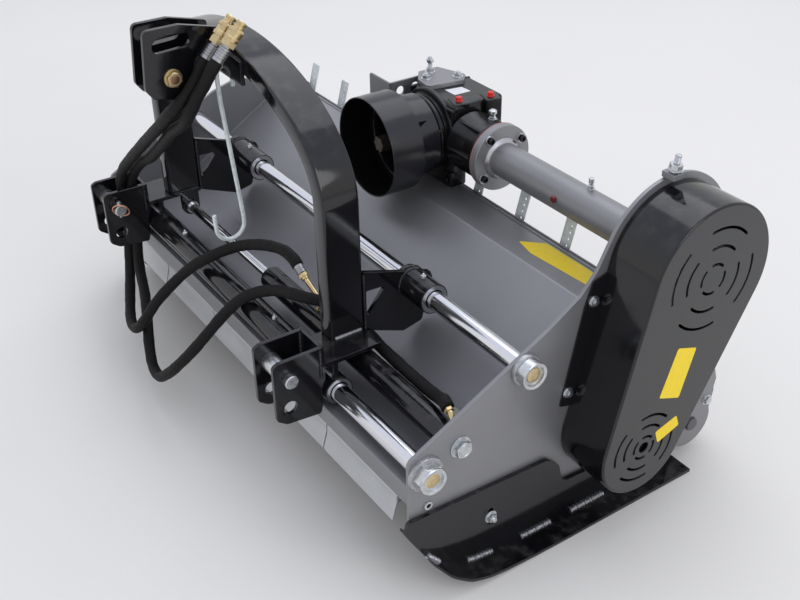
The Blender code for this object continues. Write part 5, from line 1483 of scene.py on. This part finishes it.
class MULCHER_OT_hitch(Dress):
    """Cut the lower link ears and make pins, spring clips and rings"""
    bl_idname = "mulcher.hitch"
    bl_label = "Lower hitch"

    def execute(self, context):
        for name, side in SIDES:
            self.bracket(name, side)
            self.pin(name, side)
        return {"FINISHED"}

    def bracket(self, name, side):
        ear = rounded(((-0.351, 0.262, 0.012), (-0.351, 0.385, 0.012), (-0.338, 0.391, 0.006),
            (-0.242, 0.391, 0.002), (-0.242, 0.318, 0.0), (-0.2495, 0.3, 0.0),
            (-0.2495, 0.262, 0.0), (-0.256, 0.24, 0.006), (-0.33, 0.247, 0.015)))
        holes = [circle(PIN, 0.0145), circle((-0.32, 0.283), 0.014)]
        centres = [HEAD_X + side * EAR_INNER, HEAD_X + side * EAR_OUTER]
        half = EAR_THICK / 2
        shape = Shape(f"hitch_bracket_{name}", "gloss_black")
        for x in centres:
            shape.add(plate([ear] + holes, (x - half, x + half)))
            for edge in (-1, 1):
                shape.add(bead([(x + edge * (half + 0.0004), -0.2512, 0.324),
                    (x + edge * (half + 0.0004), -0.2512, 0.388)]))
        inside = HEAD_X + side * (ARCH_HALF - ARCH_WALL)
        outside = centres[1] + side * half
        low, high = sorted((inside, outside))
        shape.add(block((min(centres), -0.25, 0.32), (max(centres), -0.2425, 0.391), 0.001))
        shape.add(block((low, -0.248, 0.342), (high, ARCH_REAR, ARCH_FOOT - GAP), 0.0012))
        shape.add(block((low, -0.225, 0.3133), (high, -0.213, 0.344), 0.001))
        arch_side = HEAD_X + side * (ARCH_HALF + 0.001)
        shape.add(bead([(arch_side, ARCH_FRONT + 0.01, ARCH_FOOT + 0.001), (arch_side,
            ARCH_REAR - 0.01, ARCH_FOOT + 0.001)]), "weld")
        shape.add(bead([(low + 0.004, -0.2265, 0.3155), (high - 0.004, -0.2265, 0.3155)]), "weld")
        if side < 0:
            lug = [(-0.164, 0.346), (-0.12, 0.346)] + arc(CYLINDER, 0.022, 0.0, -180.0, 32)
            shape.add(plate([lug, circle(CYLINDER, ROD_RADIUS + 0.0005)], (-0.442, -0.43)))
        shape.place("headstock", "gloss_black")

    def pin(self, name, side):
        def place(reach):
            return HEAD_X + side * reach
        inner, outer = EAR_INNER + EAR_THICK / 2 + GAP, EAR_OUTER - EAR_THICK / 2 - GAP
        ends = [(0.0, 0.468), (0.0125, 0.468), (0.014, 0.4665), (0.014, outer + 0.001),
            (0.014, outer), (0.0185, outer), (0.0185, inner), (0.014, inner), (0.014, 0.351),
            (0.0122, 0.349), (0.0, 0.349)]
        profile = [(radius, place(reach)) for radius, reach in ends]
        shape = Shape(f"hitch_pin_{name}", "zinc")
        shape.add(cross_lathe(profile, PIN, 56, edge=0.0006))
        shape.place("headstock", "zinc")
        clip = Vector((place(0.3585), *PIN))
        ring = Shape(f"linch_ring_{name}", "zinc")
        ring.add(lathe([(0.0, 0.022), (0.0028, 0.0218), (0.0036, 0.021), (0.0036, -0.018),
            (0.0015, -0.021), (0.0, -0.021)], clip, Z_AXIS, 24))
        ring.add(lathe([(0.0, 0.004), (0.0046, 0.0036), (0.0052, 0.002), (0.0052, -0.003),
            (0.0, -0.0032)], clip + Z_AXIS * 0.0178, Z_AXIS, 24))
        wire = [(0.0195 + 0.0018 * math.cos(a), 0.0018 * math.sin(a))
            for a in (2 * math.pi * i / 12 for i in range(12))]
        tilt = Vector((-side * 0.745, -0.529, -0.408))
        centre = clip + Vector((-side * 0.0072, 0.0, 0.001))
        ring.add(lathe(wire, centre, tilt, 56, ring=True), "copper")
        ring.place("headstock", "copper")


class MULCHER_OT_carriers(Dress):
    """Cut the slide carriers and turn their bushes and the lower tube"""
    bl_idname = "mulcher.carriers"
    bl_label = "Slide carriers"

    def execute(self, context):
        rear = ARCH_REAR + GAP
        line = rounded(((rear, 0.48, 0.0), (0.045, 0.428, 0.008), (0.05, 0.414, 0.006),
            (0.0235, 0.318, 0.01), (-0.0225, 0.308, 0.008), (rear, 0.345, 0.0)))
        window = rounded([(-0.108, 0.434, 0.003), (-0.068, 0.432, 0.003), (-0.068, 0.424, 0.003),
            (-0.108, 0.374, 0.003)])
        for name, plate_span, bush in (("drive", (0.311, 0.321), (0.3, 0.398)),
                ("idle", (-0.437, -0.427), (-0.45, -0.313))):
            shape = Shape(f"slide_carrier_{name}", "gloss_black")
            shape.add(plate([line, window, circle(UPPER_BAR, 0.0195)], plate_span))
            shape.add(pipe(0.032, 0.0195, bush, UPPER_BAR, 0.001))
            for x, way in zip(bush, (-1, 1)):
                shape.add(wiper(x, way, 0.0296, 0.03, UPPER_BAR), "machined")
            edge = arc(UPPER_BAR, 0.0322, 200.0, -20.0, 36)
            for x, way in zip(plate_span, (-1, 1)):
                shape.add(bead([(x + way * 0.0006, y, z) for y, z in edge], 0.0026))
                shape.add(bead([(x + way * 0.0006, rear + 0.0004, 0.35), (x + way * 0.0006,
                    rear + 0.0004, 0.474)], 0.0028))
            seat = (sum(bush) / 2 + 0.012, UPPER_BAR[0], UPPER_BAR[1] + 0.0315)
            shape.add(lathe([(0.0, 0.005), (0.005, 0.005), (0.0055, 0.0)], seat, Z_AXIS, 20),
                "zinc")
            shape.add(lathe([(0.0, 0.0105), (0.0018, 0.01), (0.0024, 0.0085), (0.0016, 0.007),
                (0.003, 0.005), (0.003, 0.004)], seat, Z_AXIS, 20), "zinc")
            shape.place("headstock", "gloss_black")
        tube = Shape("lower_slide_tube", "gloss_black")
        tube.add(pipe(0.03, 0.0195, (-0.53, 0.39), LOWER_BAR, 0.001))
        for x, way in ((-0.53, -1), (0.39, 1)):
            tube.add(wiper(x, way, 0.028, 0.0282, LOWER_BAR), "machined")
        for x in (-0.3, 0.135):
            seat = Vector((x, LOWER_BAR[0], LOWER_BAR[1] + 0.0295))
            tube.add(lathe([(0.0, 0.011), (0.0018, 0.0105), (0.0024, 0.009), (0.0016, 0.0075),
                (0.0032, 0.0055), (0.0052, 0.0048), (0.0056, 0.0)], seat, Z_AXIS, 20, edge=0.0003),
                "zinc")
        tube.place("headstock", "gloss_black")
        return {"FINISHED"}


class MULCHER_OT_hook(Dress):
    """Bend the round wire of the hose hook"""
    bl_idname = "mulcher.hook"
    bl_label = "Hose hook"

    def execute(self, context):
        pivot = Vector((-0.033, ARCH_FRONT - 0.0043, 0.8054))
        line = [(0.016, -0.045)] + arc((0.0, -0.016), 0.016, 0.0, 180.0, 28)
        line += rounded([(-0.016, -0.03, 0.0), (-0.0145, -0.07, 0.05), (0.01, -0.335, 0.0)],
            open_line=True)
        line += arc((-0.022, -0.348), 0.032, 0.0, -180.0, 40)
        line += [(-0.0552, -0.33), (-0.056, -0.315)]
        wire = [pivot + Vector((0.0, y, z)) for y, z in line]
        shape = Shape("hose_hook", "galvanised")
        shape.add(sweep(evenly(wire, 0.0035), 0.0045, 20))
        for end, way in ((wire[0], wire[0] - wire[1]), (wire[-1], wire[-1] - wire[-2])):
            shape.add(lathe([(0.0, 0.0012), (0.003, 0.001), (0.0044, 0.0)], end, way, 20))
        shape.place("hook", "zinc")
        return {"FINISHED"}


class MULCHER_OT_cylinder(Dress):
    """Turn the side-shift cylinder, its rod and the oil fittings"""
    bl_idname = "mulcher.cylinder"
    bl_label = "Side-shift cylinder"

    def execute(self, context):
        mouth = -0.026
        barrel = Shape("cylinder_barrel", "gloss_black")
        barrel.add(cross_lathe([(0.0, FACE + 0.003), (0.01, FACE + 0.003), (0.01, BETWEEN),
            (BARREL_RADIUS, BETWEEN), (BARREL_RADIUS, 0.028), (BARREL_RADIUS - 0.0012, 0.026),
            (BARREL_RADIUS - 0.0012, 0.022), (BARREL_RADIUS, 0.02), (BARREL_RADIUS, mouth + 0.004),
            (BARREL_RADIUS - 0.003, mouth), (0.013, mouth), (0.0128, mouth + 0.004),
            (ROD_RADIUS + 0.0005, mouth + 0.004), (ROD_RADIUS + 0.0005, 0.48), (0.0, 0.48)],
            CYLINDER, edge=0.0006))
        barrel.bolt((FACE, *CYLINDER), X_AXIS, 0.0182, 0.013, washer=0.022)
        barrel.add(lathe([(0.0, 0.0002), (0.0098, 0.0004), (0.0112, 0.0016), (0.0128, 0.0016),
            (0.0132, 0.0)], (FACE + 0.0141, *CYLINDER), X_AXIS, 40), "zinc")
        # Near-black disc on the nut's end: painted shade in its recess.
        barrel.add(lathe([(0.0, 0.0008), (0.01, 0.0008), (0.0101, 0.0)],
            (FACE + 0.0141, *CYLINDER), X_AXIS, 40), "painted_shade_black")
        for x in (0.195, 0.655):
            barrel.add(lathe([(0.0, 0.0), (0.0105, -0.0002), (0.0115, -0.004)], (x, CYLINDER[0],
                CYLINDER[1] + BARREL_RADIUS), Z_AXIS, 32))
        barrel.place("mower", "gloss_black")
        rod = Shape("cylinder_rod", "chrome")
        rod.add(cross_lathe([(0.0, 0.16), (ROD_RADIUS, 0.16), (ROD_RADIUS, -0.42),
            (ROD_RADIUS, -0.458), (0.0, -0.458)], CYLINDER, edge=0.0012))
        rod.bolt((-0.4423, *CYLINDER), -X_AXIS, 0.017, 0.0122)
        rod.add(cross_lathe([(ROD_RADIUS - 0.001, -0.422), (0.015, -0.422), (0.015, -0.4297),
            (ROD_RADIUS - 0.001, -0.4297)], CYLINDER, ring=True), "zinc")
        rod.place("headstock", "chrome")
        self.elbows()
        return {"FINISHED"}

    def elbows(self):
        seat = CYLINDER[1] + BARREL_RADIUS + GAP
        routes = {"a": ((0.195, -0.142, seat + 0.004), (0.195, -0.142, 0.35),
            (0.183, -0.142, 0.364), (0.158, -0.1436, 0.3785), (0.13, -0.1455, 0.396),
            (0.1165, -0.146, 0.4045)), "b": ((0.655, -0.142, seat + 0.004), (0.655, -0.142, 0.35),
            (0.648, -0.141, 0.359), (0.634, -0.138, 0.363))}
        for name, route in routes.items():
            shape = Shape(f"cylinder_elbow_{name}", "brass")
            foot = Vector((route[0][0], route[0][1], seat))
            shape.add(prism(0.0098, 0.0085, foot, Z_AXIS, 15.0))
            shape.add(sweep(smooth_route(route, 0.002), 0.0056, 28))
            shape.add(prism(0.0082, 0.006, foot + Z_AXIS * 0.0105, Z_AXIS, 5.0))
            end, back = Vector(route[-1]), (Vector(route[-1]) - Vector(route[-2])).normalized()
            if name == "a":
                ribs = [(0.0, 0.0), (0.01, 0.0)]
                for i in range(4):
                    ribs += [(0.0108, i * 0.0042 + 0.0006), (0.0108, i * 0.0042 + 0.0024),
                        (0.0096, i * 0.0042 + 0.003), (0.0096, i * 0.0042 + 0.0038)]
                ribs += [(0.0104, 0.0175), (0.0104, 0.019), (0.0, 0.019)]
                shape.add(lathe(ribs, end - back * 0.019, back, 40), "ferrule")
                shape.add(prism(0.0104, 0.009, end - back * 0.0285, back, 20.0))
                shape.add(lathe([(0.0, 0.0), (0.0078, 0.0), (0.0078, 0.005), (0.0, 0.005)],
                    end - back * 0.0335, back, 36))
            else:
                shape.add(prism(0.0092, 0.008, end - back * 0.008, back, 20.0))
            shape.place("mower", "brass")


ENDS_A = (Vector((-0.015, -0.2406, 0.8337)), Vector((-0.015, -0.1776, 0.9047)))
ENDS_B = (Vector((0.04, -0.243, 0.846)), Vector((0.04, -0.183, 0.91)))
FACE_A = Vector((0.1165, -0.146, 0.4045))
WAY_A = Vector((-0.0135, -0.0005, 0.0085)).normalized()
FACE_B = Vector((0.634, -0.138, 0.363))
WAY_B = Vector((-0.014, 0.003, 0.004)).normalized()
HOSE_STUB = 0.018
HOSE_A = ((-0.02, -0.261, 0.799), (-0.024, -0.28, 0.772), (-0.026, -0.301, 0.753),
    (-0.06, -0.312, 0.721), (-0.126, -0.312, 0.67), (-0.224, -0.307, 0.602), (-0.39, -0.3, 0.481),
    (-0.449, -0.296, 0.429), (-0.484, -0.29, 0.385), (-0.503, -0.281, 0.34),
    (-0.503, -0.279, 0.285), (-0.493, -0.291, 0.225), (-0.455, -0.313, 0.168),
    (-0.39, -0.345, 0.133), (-0.325, -0.372, 0.119), (-0.272, -0.381, 0.125),
    (-0.236, -0.371, 0.16), (-0.213, -0.342, 0.215), (-0.195, -0.3, 0.262), (-0.163, -0.27, 0.305),
    (-0.128, -0.242, 0.338), (-0.104, -0.213, 0.358), (-0.078, -0.188, 0.374),
    (-0.038, -0.169, 0.391), (0.015, -0.156, 0.408), (0.064, -0.148, 0.417))
HOSE_B = ((0.02, -0.264, 0.799), (0.01, -0.277, 0.774), (-0.001, -0.289, 0.744),
    (-0.036, -0.293, 0.706), (-0.098, -0.292, 0.667), (-0.165, -0.288, 0.617),
    (-0.278, -0.281, 0.536), (-0.34, -0.275, 0.503), (-0.432, -0.269, 0.438),
    (-0.47, -0.27, 0.385), (-0.474, -0.27, 0.325), (-0.474, -0.272, 0.262), (-0.46, -0.284, 0.212),
    (-0.412, -0.302, 0.184), (-0.34, -0.324, 0.163), (-0.274, -0.35, 0.134),
    (-0.226, -0.371, 0.099), (-0.182, -0.385, 0.072), (-0.13, -0.39, 0.075),
    (-0.08, -0.385, 0.113), (-0.04, -0.374, 0.155), (-0.01, -0.349, 0.2), (0.006, -0.316, 0.242),
    (0.018, -0.283, 0.28), (0.036, -0.25, 0.316), (0.066, -0.218, 0.341), (0.116, -0.193, 0.361),
    (0.174, -0.178, 0.373), (0.222, -0.146, 0.371), (0.25, -0.108, 0.348), (0.282, -0.095, 0.325),
    (0.32, -0.096, 0.319), (0.36, -0.1, 0.319), (0.44, -0.104, 0.321), (0.52, -0.106, 0.323),
    (0.58, -0.116, 0.34))


class MULCHER_OT_hoses(Dress):
    """Lay both hoses in their woven sleeves and turn the quick couplers"""
    bl_idname = "mulcher.hoses"
    bl_label = "Hoses and couplers"

    def execute(self, context):
        near = self.coupler("coupler_a", ENDS_A)
        far = self.coupler("coupler_b", ENDS_B)
        self.hose("hose_a", ENDS_A, HOSE_A, FACE_A, WAY_A, near,
            ((-0.3875, 0.0, 0.3875), (-0.15, 0.0, 0.15)))
        self.hose("hose_b", ENDS_B, HOSE_B, FACE_B, WAY_B, far,
            ((-0.36, 0.0, 0.0), (0.272, 0.0, -0.316)))
        return {"FINISHED"}

    def coupler(self, name, ends):
        foot, nose = ends
        way = nose - foot
        reach = way.length
        neck = 0.034
        shape = Shape(name, "ferrule")
        sleeve_end = [(0.0, 0.0), (0.0125, 0.0), (0.0125, 0.004)]
        for i in range(4):
            start = 0.006 + i * 0.0055
            sleeve_end += [(0.0125, start), (0.0112, start + 0.001), (0.0112, start + 0.0022),
                (0.0125, start + 0.0032)]
        sleeve_end += [(0.0125, 0.0285), (0.0095, 0.03), (0.0095, neck + 0.002),
            (0.0, neck + 0.002)]
        shape.add(lathe(sleeve_end, foot, way, 48))
        shape.add(prism(0.016, 0.012, foot + way.normalized() * neck, way, 0.0), "brass")
        shape.add(lathe([(0.0, neck + 0.011), (0.0138, neck + 0.011), (0.0138, neck + 0.016),
            (0.016, neck + 0.0165), (0.016, reach - 0.0385), (0.0148, reach - 0.0375),
            (0.0148, reach - 0.035), (0.014, reach - 0.034), (0.014, reach - 0.025),
            (0.0148, reach - 0.024), (0.0148, reach - 0.02), (0.0135, reach - 0.0165),
            (0.0108, reach - 0.015), (0.0108, reach - 0.0095), (0.0094, reach - 0.0085),
            (0.0094, reach - 0.0065), (0.0106, reach - 0.0055), (0.0106, reach - 0.0015),
            (0.0094, reach), (0.006, reach), (0.0052, reach - 0.008), (0.0, reach - 0.008)], foot,
            way, 56, edge=0.0004), "brass")
        shape.add(lathe([(0.0, reach - 0.0078), (0.0034, reach - 0.0074), (0.004, reach - 0.005),
            (0.0, reach - 0.003)][::-1], foot, way, 24))
        return shape.place("headstock", "brass")

    def hose(self, name, ends, route, face, way, coupler, shift):
        foot, nose = ends
        back = (foot - nose).normalized()
        free = smooth_route([foot + back * HOSE_STUB, *route, face + way * HOSE_STUB], 0.006)
        line = [foot + back * GAP, *free, face + way * GAP][::-1]
        line = evenly(line, 0.005)
        wave = sizes().sleeve_wave / HOSE_RADIUS

        def swell(reach):
            return 1.03 + wave * (math.sin(reach * 61.0) * 0.5 + math.sin(reach * 143.0) * 0.4
                + math.sin(reach * 257.0) * 0.3)

        shape = Shape(name, "sleeve")
        shape.add(sweep(line, HOSE_RADIUS, 28, swell))
        piece = shape.place(None, "sleeve_black", sharp=60.0)
        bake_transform(piece)
        length = sum((b - a).length for a, b in zip(line, line[1:]))
        path = [tuple(p + ORIGIN) for p in line]


# Studio: camera angles in degrees, lamps as name, place, target, width and watts

CAMERA_PLACE = (1.8888, -1.0625, 1.6029)
CAMERA_TURN = (90 - 32.6377, -0.0487, 54.5975)
CAMERA_LENS = 50.183
CAMERA_SENSOR = 36.0
CAMERA_SHIFT = (-0.0421, -0.0082)
LAMPS = (("soft_above", (-0.8, 1.4, 4.2), (0.0, 0.0, 0.4), 4.0, 45.0),
    ("soft_side", (4.2, 0.6, 2.4), (0.0, 0.0, 0.3), 2.4, 30.0))
HORIZON = (0.9, 0.9, 0.89)
ZENITH = (0.84, 0.87, 1.0)
HORIZON_SPAN = (0.05, 0.8)
ROOM_STRENGTH = 0.95


class MULCHER_OT_stage(Dress):
    """Lay the pale floor and set the light and the camera"""
    bl_idname = "mulcher.stage"
    bl_label = "Stage"

    def execute(self, context):
        self.floor()
        self.world(context.scene)
        for lamp in LAMPS:
            self.lamp(*lamp)
        self.camera(context.scene)
        context.scene.view_settings.view_transform = "Standard"
        return {"FINISHED"}

    def floor(self):
        form = bmesh.new()
        bmesh.ops.create_grid(form, x_segments=8, y_segments=8, size=16.0)
        mesh = bpy.data.meshes.new("floor")
        form.to_mesh(mesh)
        form.free()
        colour = tint("floor")
        s = Surface("pale_floor", colour, 0.75)
        cloud = s.noise(0.9, 6.0)
        grit = s.noise(140.0, 4.0)
        mesh.materials.append(s.laid(s.mix(cloud * 0.75 + grit * 0.25, shade(colour, 0.94),
            shade(colour, 1.06)), 0.6 + grit * 0.25, s.bump(grit, 0.05, 0.001)))
        piece = linked("floor", mesh)

    def world(self, scene):
        """Bright round the horizon and a cooler grey overhead."""
        scene.world = bpy.data.worlds.new("soft_room")
        room = Tree(scene.world, "Background")
        place = room.node("ShaderNodeTexCoord", {}, {}, "Generated")
        height = room.node("ShaderNodeSeparateXYZ", {}, {0: place}, "Z")
        room.feed("Color", room.mix(room.step(height, *HORIZON_SPAN), HORIZON, ZENITH))
        room.feed("Strength", ROOM_STRENGTH)

    def lamp(self, name, place, target, size, power):
        light = bpy.data.lights.new(name, "AREA")
        light.shape = "DISK"
        light.size = size
        light.energy = power
        lamp = linked(name, light)
        lamp.location = place
        lamp.rotation_euler = (Vector(target) - Vector(place)).to_track_quat("-Z", "Y").to_euler()

    def camera(self, scene):
        data = bpy.data.cameras.new("camera")
        data.lens = CAMERA_LENS
        data.sensor_width = CAMERA_SENSOR
        data.shift_x, data.shift_y = CAMERA_SHIFT
        data.clip_start = 0.05
        camera = linked("camera", data)
        camera.location = Vector(CAMERA_PLACE) + ORIGIN
        camera.rotation_euler = [math.radians(turn) for turn in CAMERA_TURN]
        scene.camera = camera


OPERATORS = (MULCHER_OT_stage, MULCHER_OT_hoses, MULCHER_OT_side_plates, MULCHER_OT_hood,
    MULCHER_OT_slide_bars, MULCHER_OT_front_edge, MULCHER_OT_skids, MULCHER_OT_roller,
    MULCHER_OT_rotor, MULCHER_OT_belt_cover, MULCHER_OT_tensioner, MULCHER_OT_drive_tube,
    MULCHER_OT_gearbox, MULCHER_OT_gearbox_bracket, MULCHER_OT_input, MULCHER_OT_rake,
    MULCHER_OT_headstock, MULCHER_OT_hitch, MULCHER_OT_carriers, MULCHER_OT_hook,
    MULCHER_OT_cylinder)


class MULCHER_PT_panel(bpy.types.Panel):
    """Sizes, colours and pieces of the mulcher"""
    bl_idname = "MULCHER_PT_panel"
    bl_label = "Tractor mulcher"
    bl_space_type = "VIEW_3D"
    bl_region_type = "UI"
    bl_category = "Mulcher"

    def draw(self, context):
        layout = self.layout
        for group in (context.scene.mulcher_sizes, context.scene.mulcher_colours):
            column = layout.column(align=True)
            for key in group.__annotations__:
                column.prop(group, key)
        column = layout.column(align=True)
        for operator in OPERATORS:
            column.operator(operator.bl_idname, text=operator.bl_label)


CLASSES = (MulcherSizes, MulcherColours, *OPERATORS, MULCHER_PT_panel)


def register():
    for item in CLASSES:
        bpy.utils.register_class(item)
    bpy.types.Scene.mulcher_sizes = PointerProperty(type=MulcherSizes)
    bpy.types.Scene.mulcher_colours = PointerProperty(type=MulcherColours)


def unregister():
    del bpy.types.Scene.mulcher_colours
    del bpy.types.Scene.mulcher_sizes
    for item in reversed(CLASSES):
        bpy.utils.unregister_class(item)


def main():
    register()
    for operator in OPERATORS:
        group, name = operator.bl_idname.split(".")
        getattr(getattr(bpy.ops, group), name)()


if __name__ == "__main__":
    main()
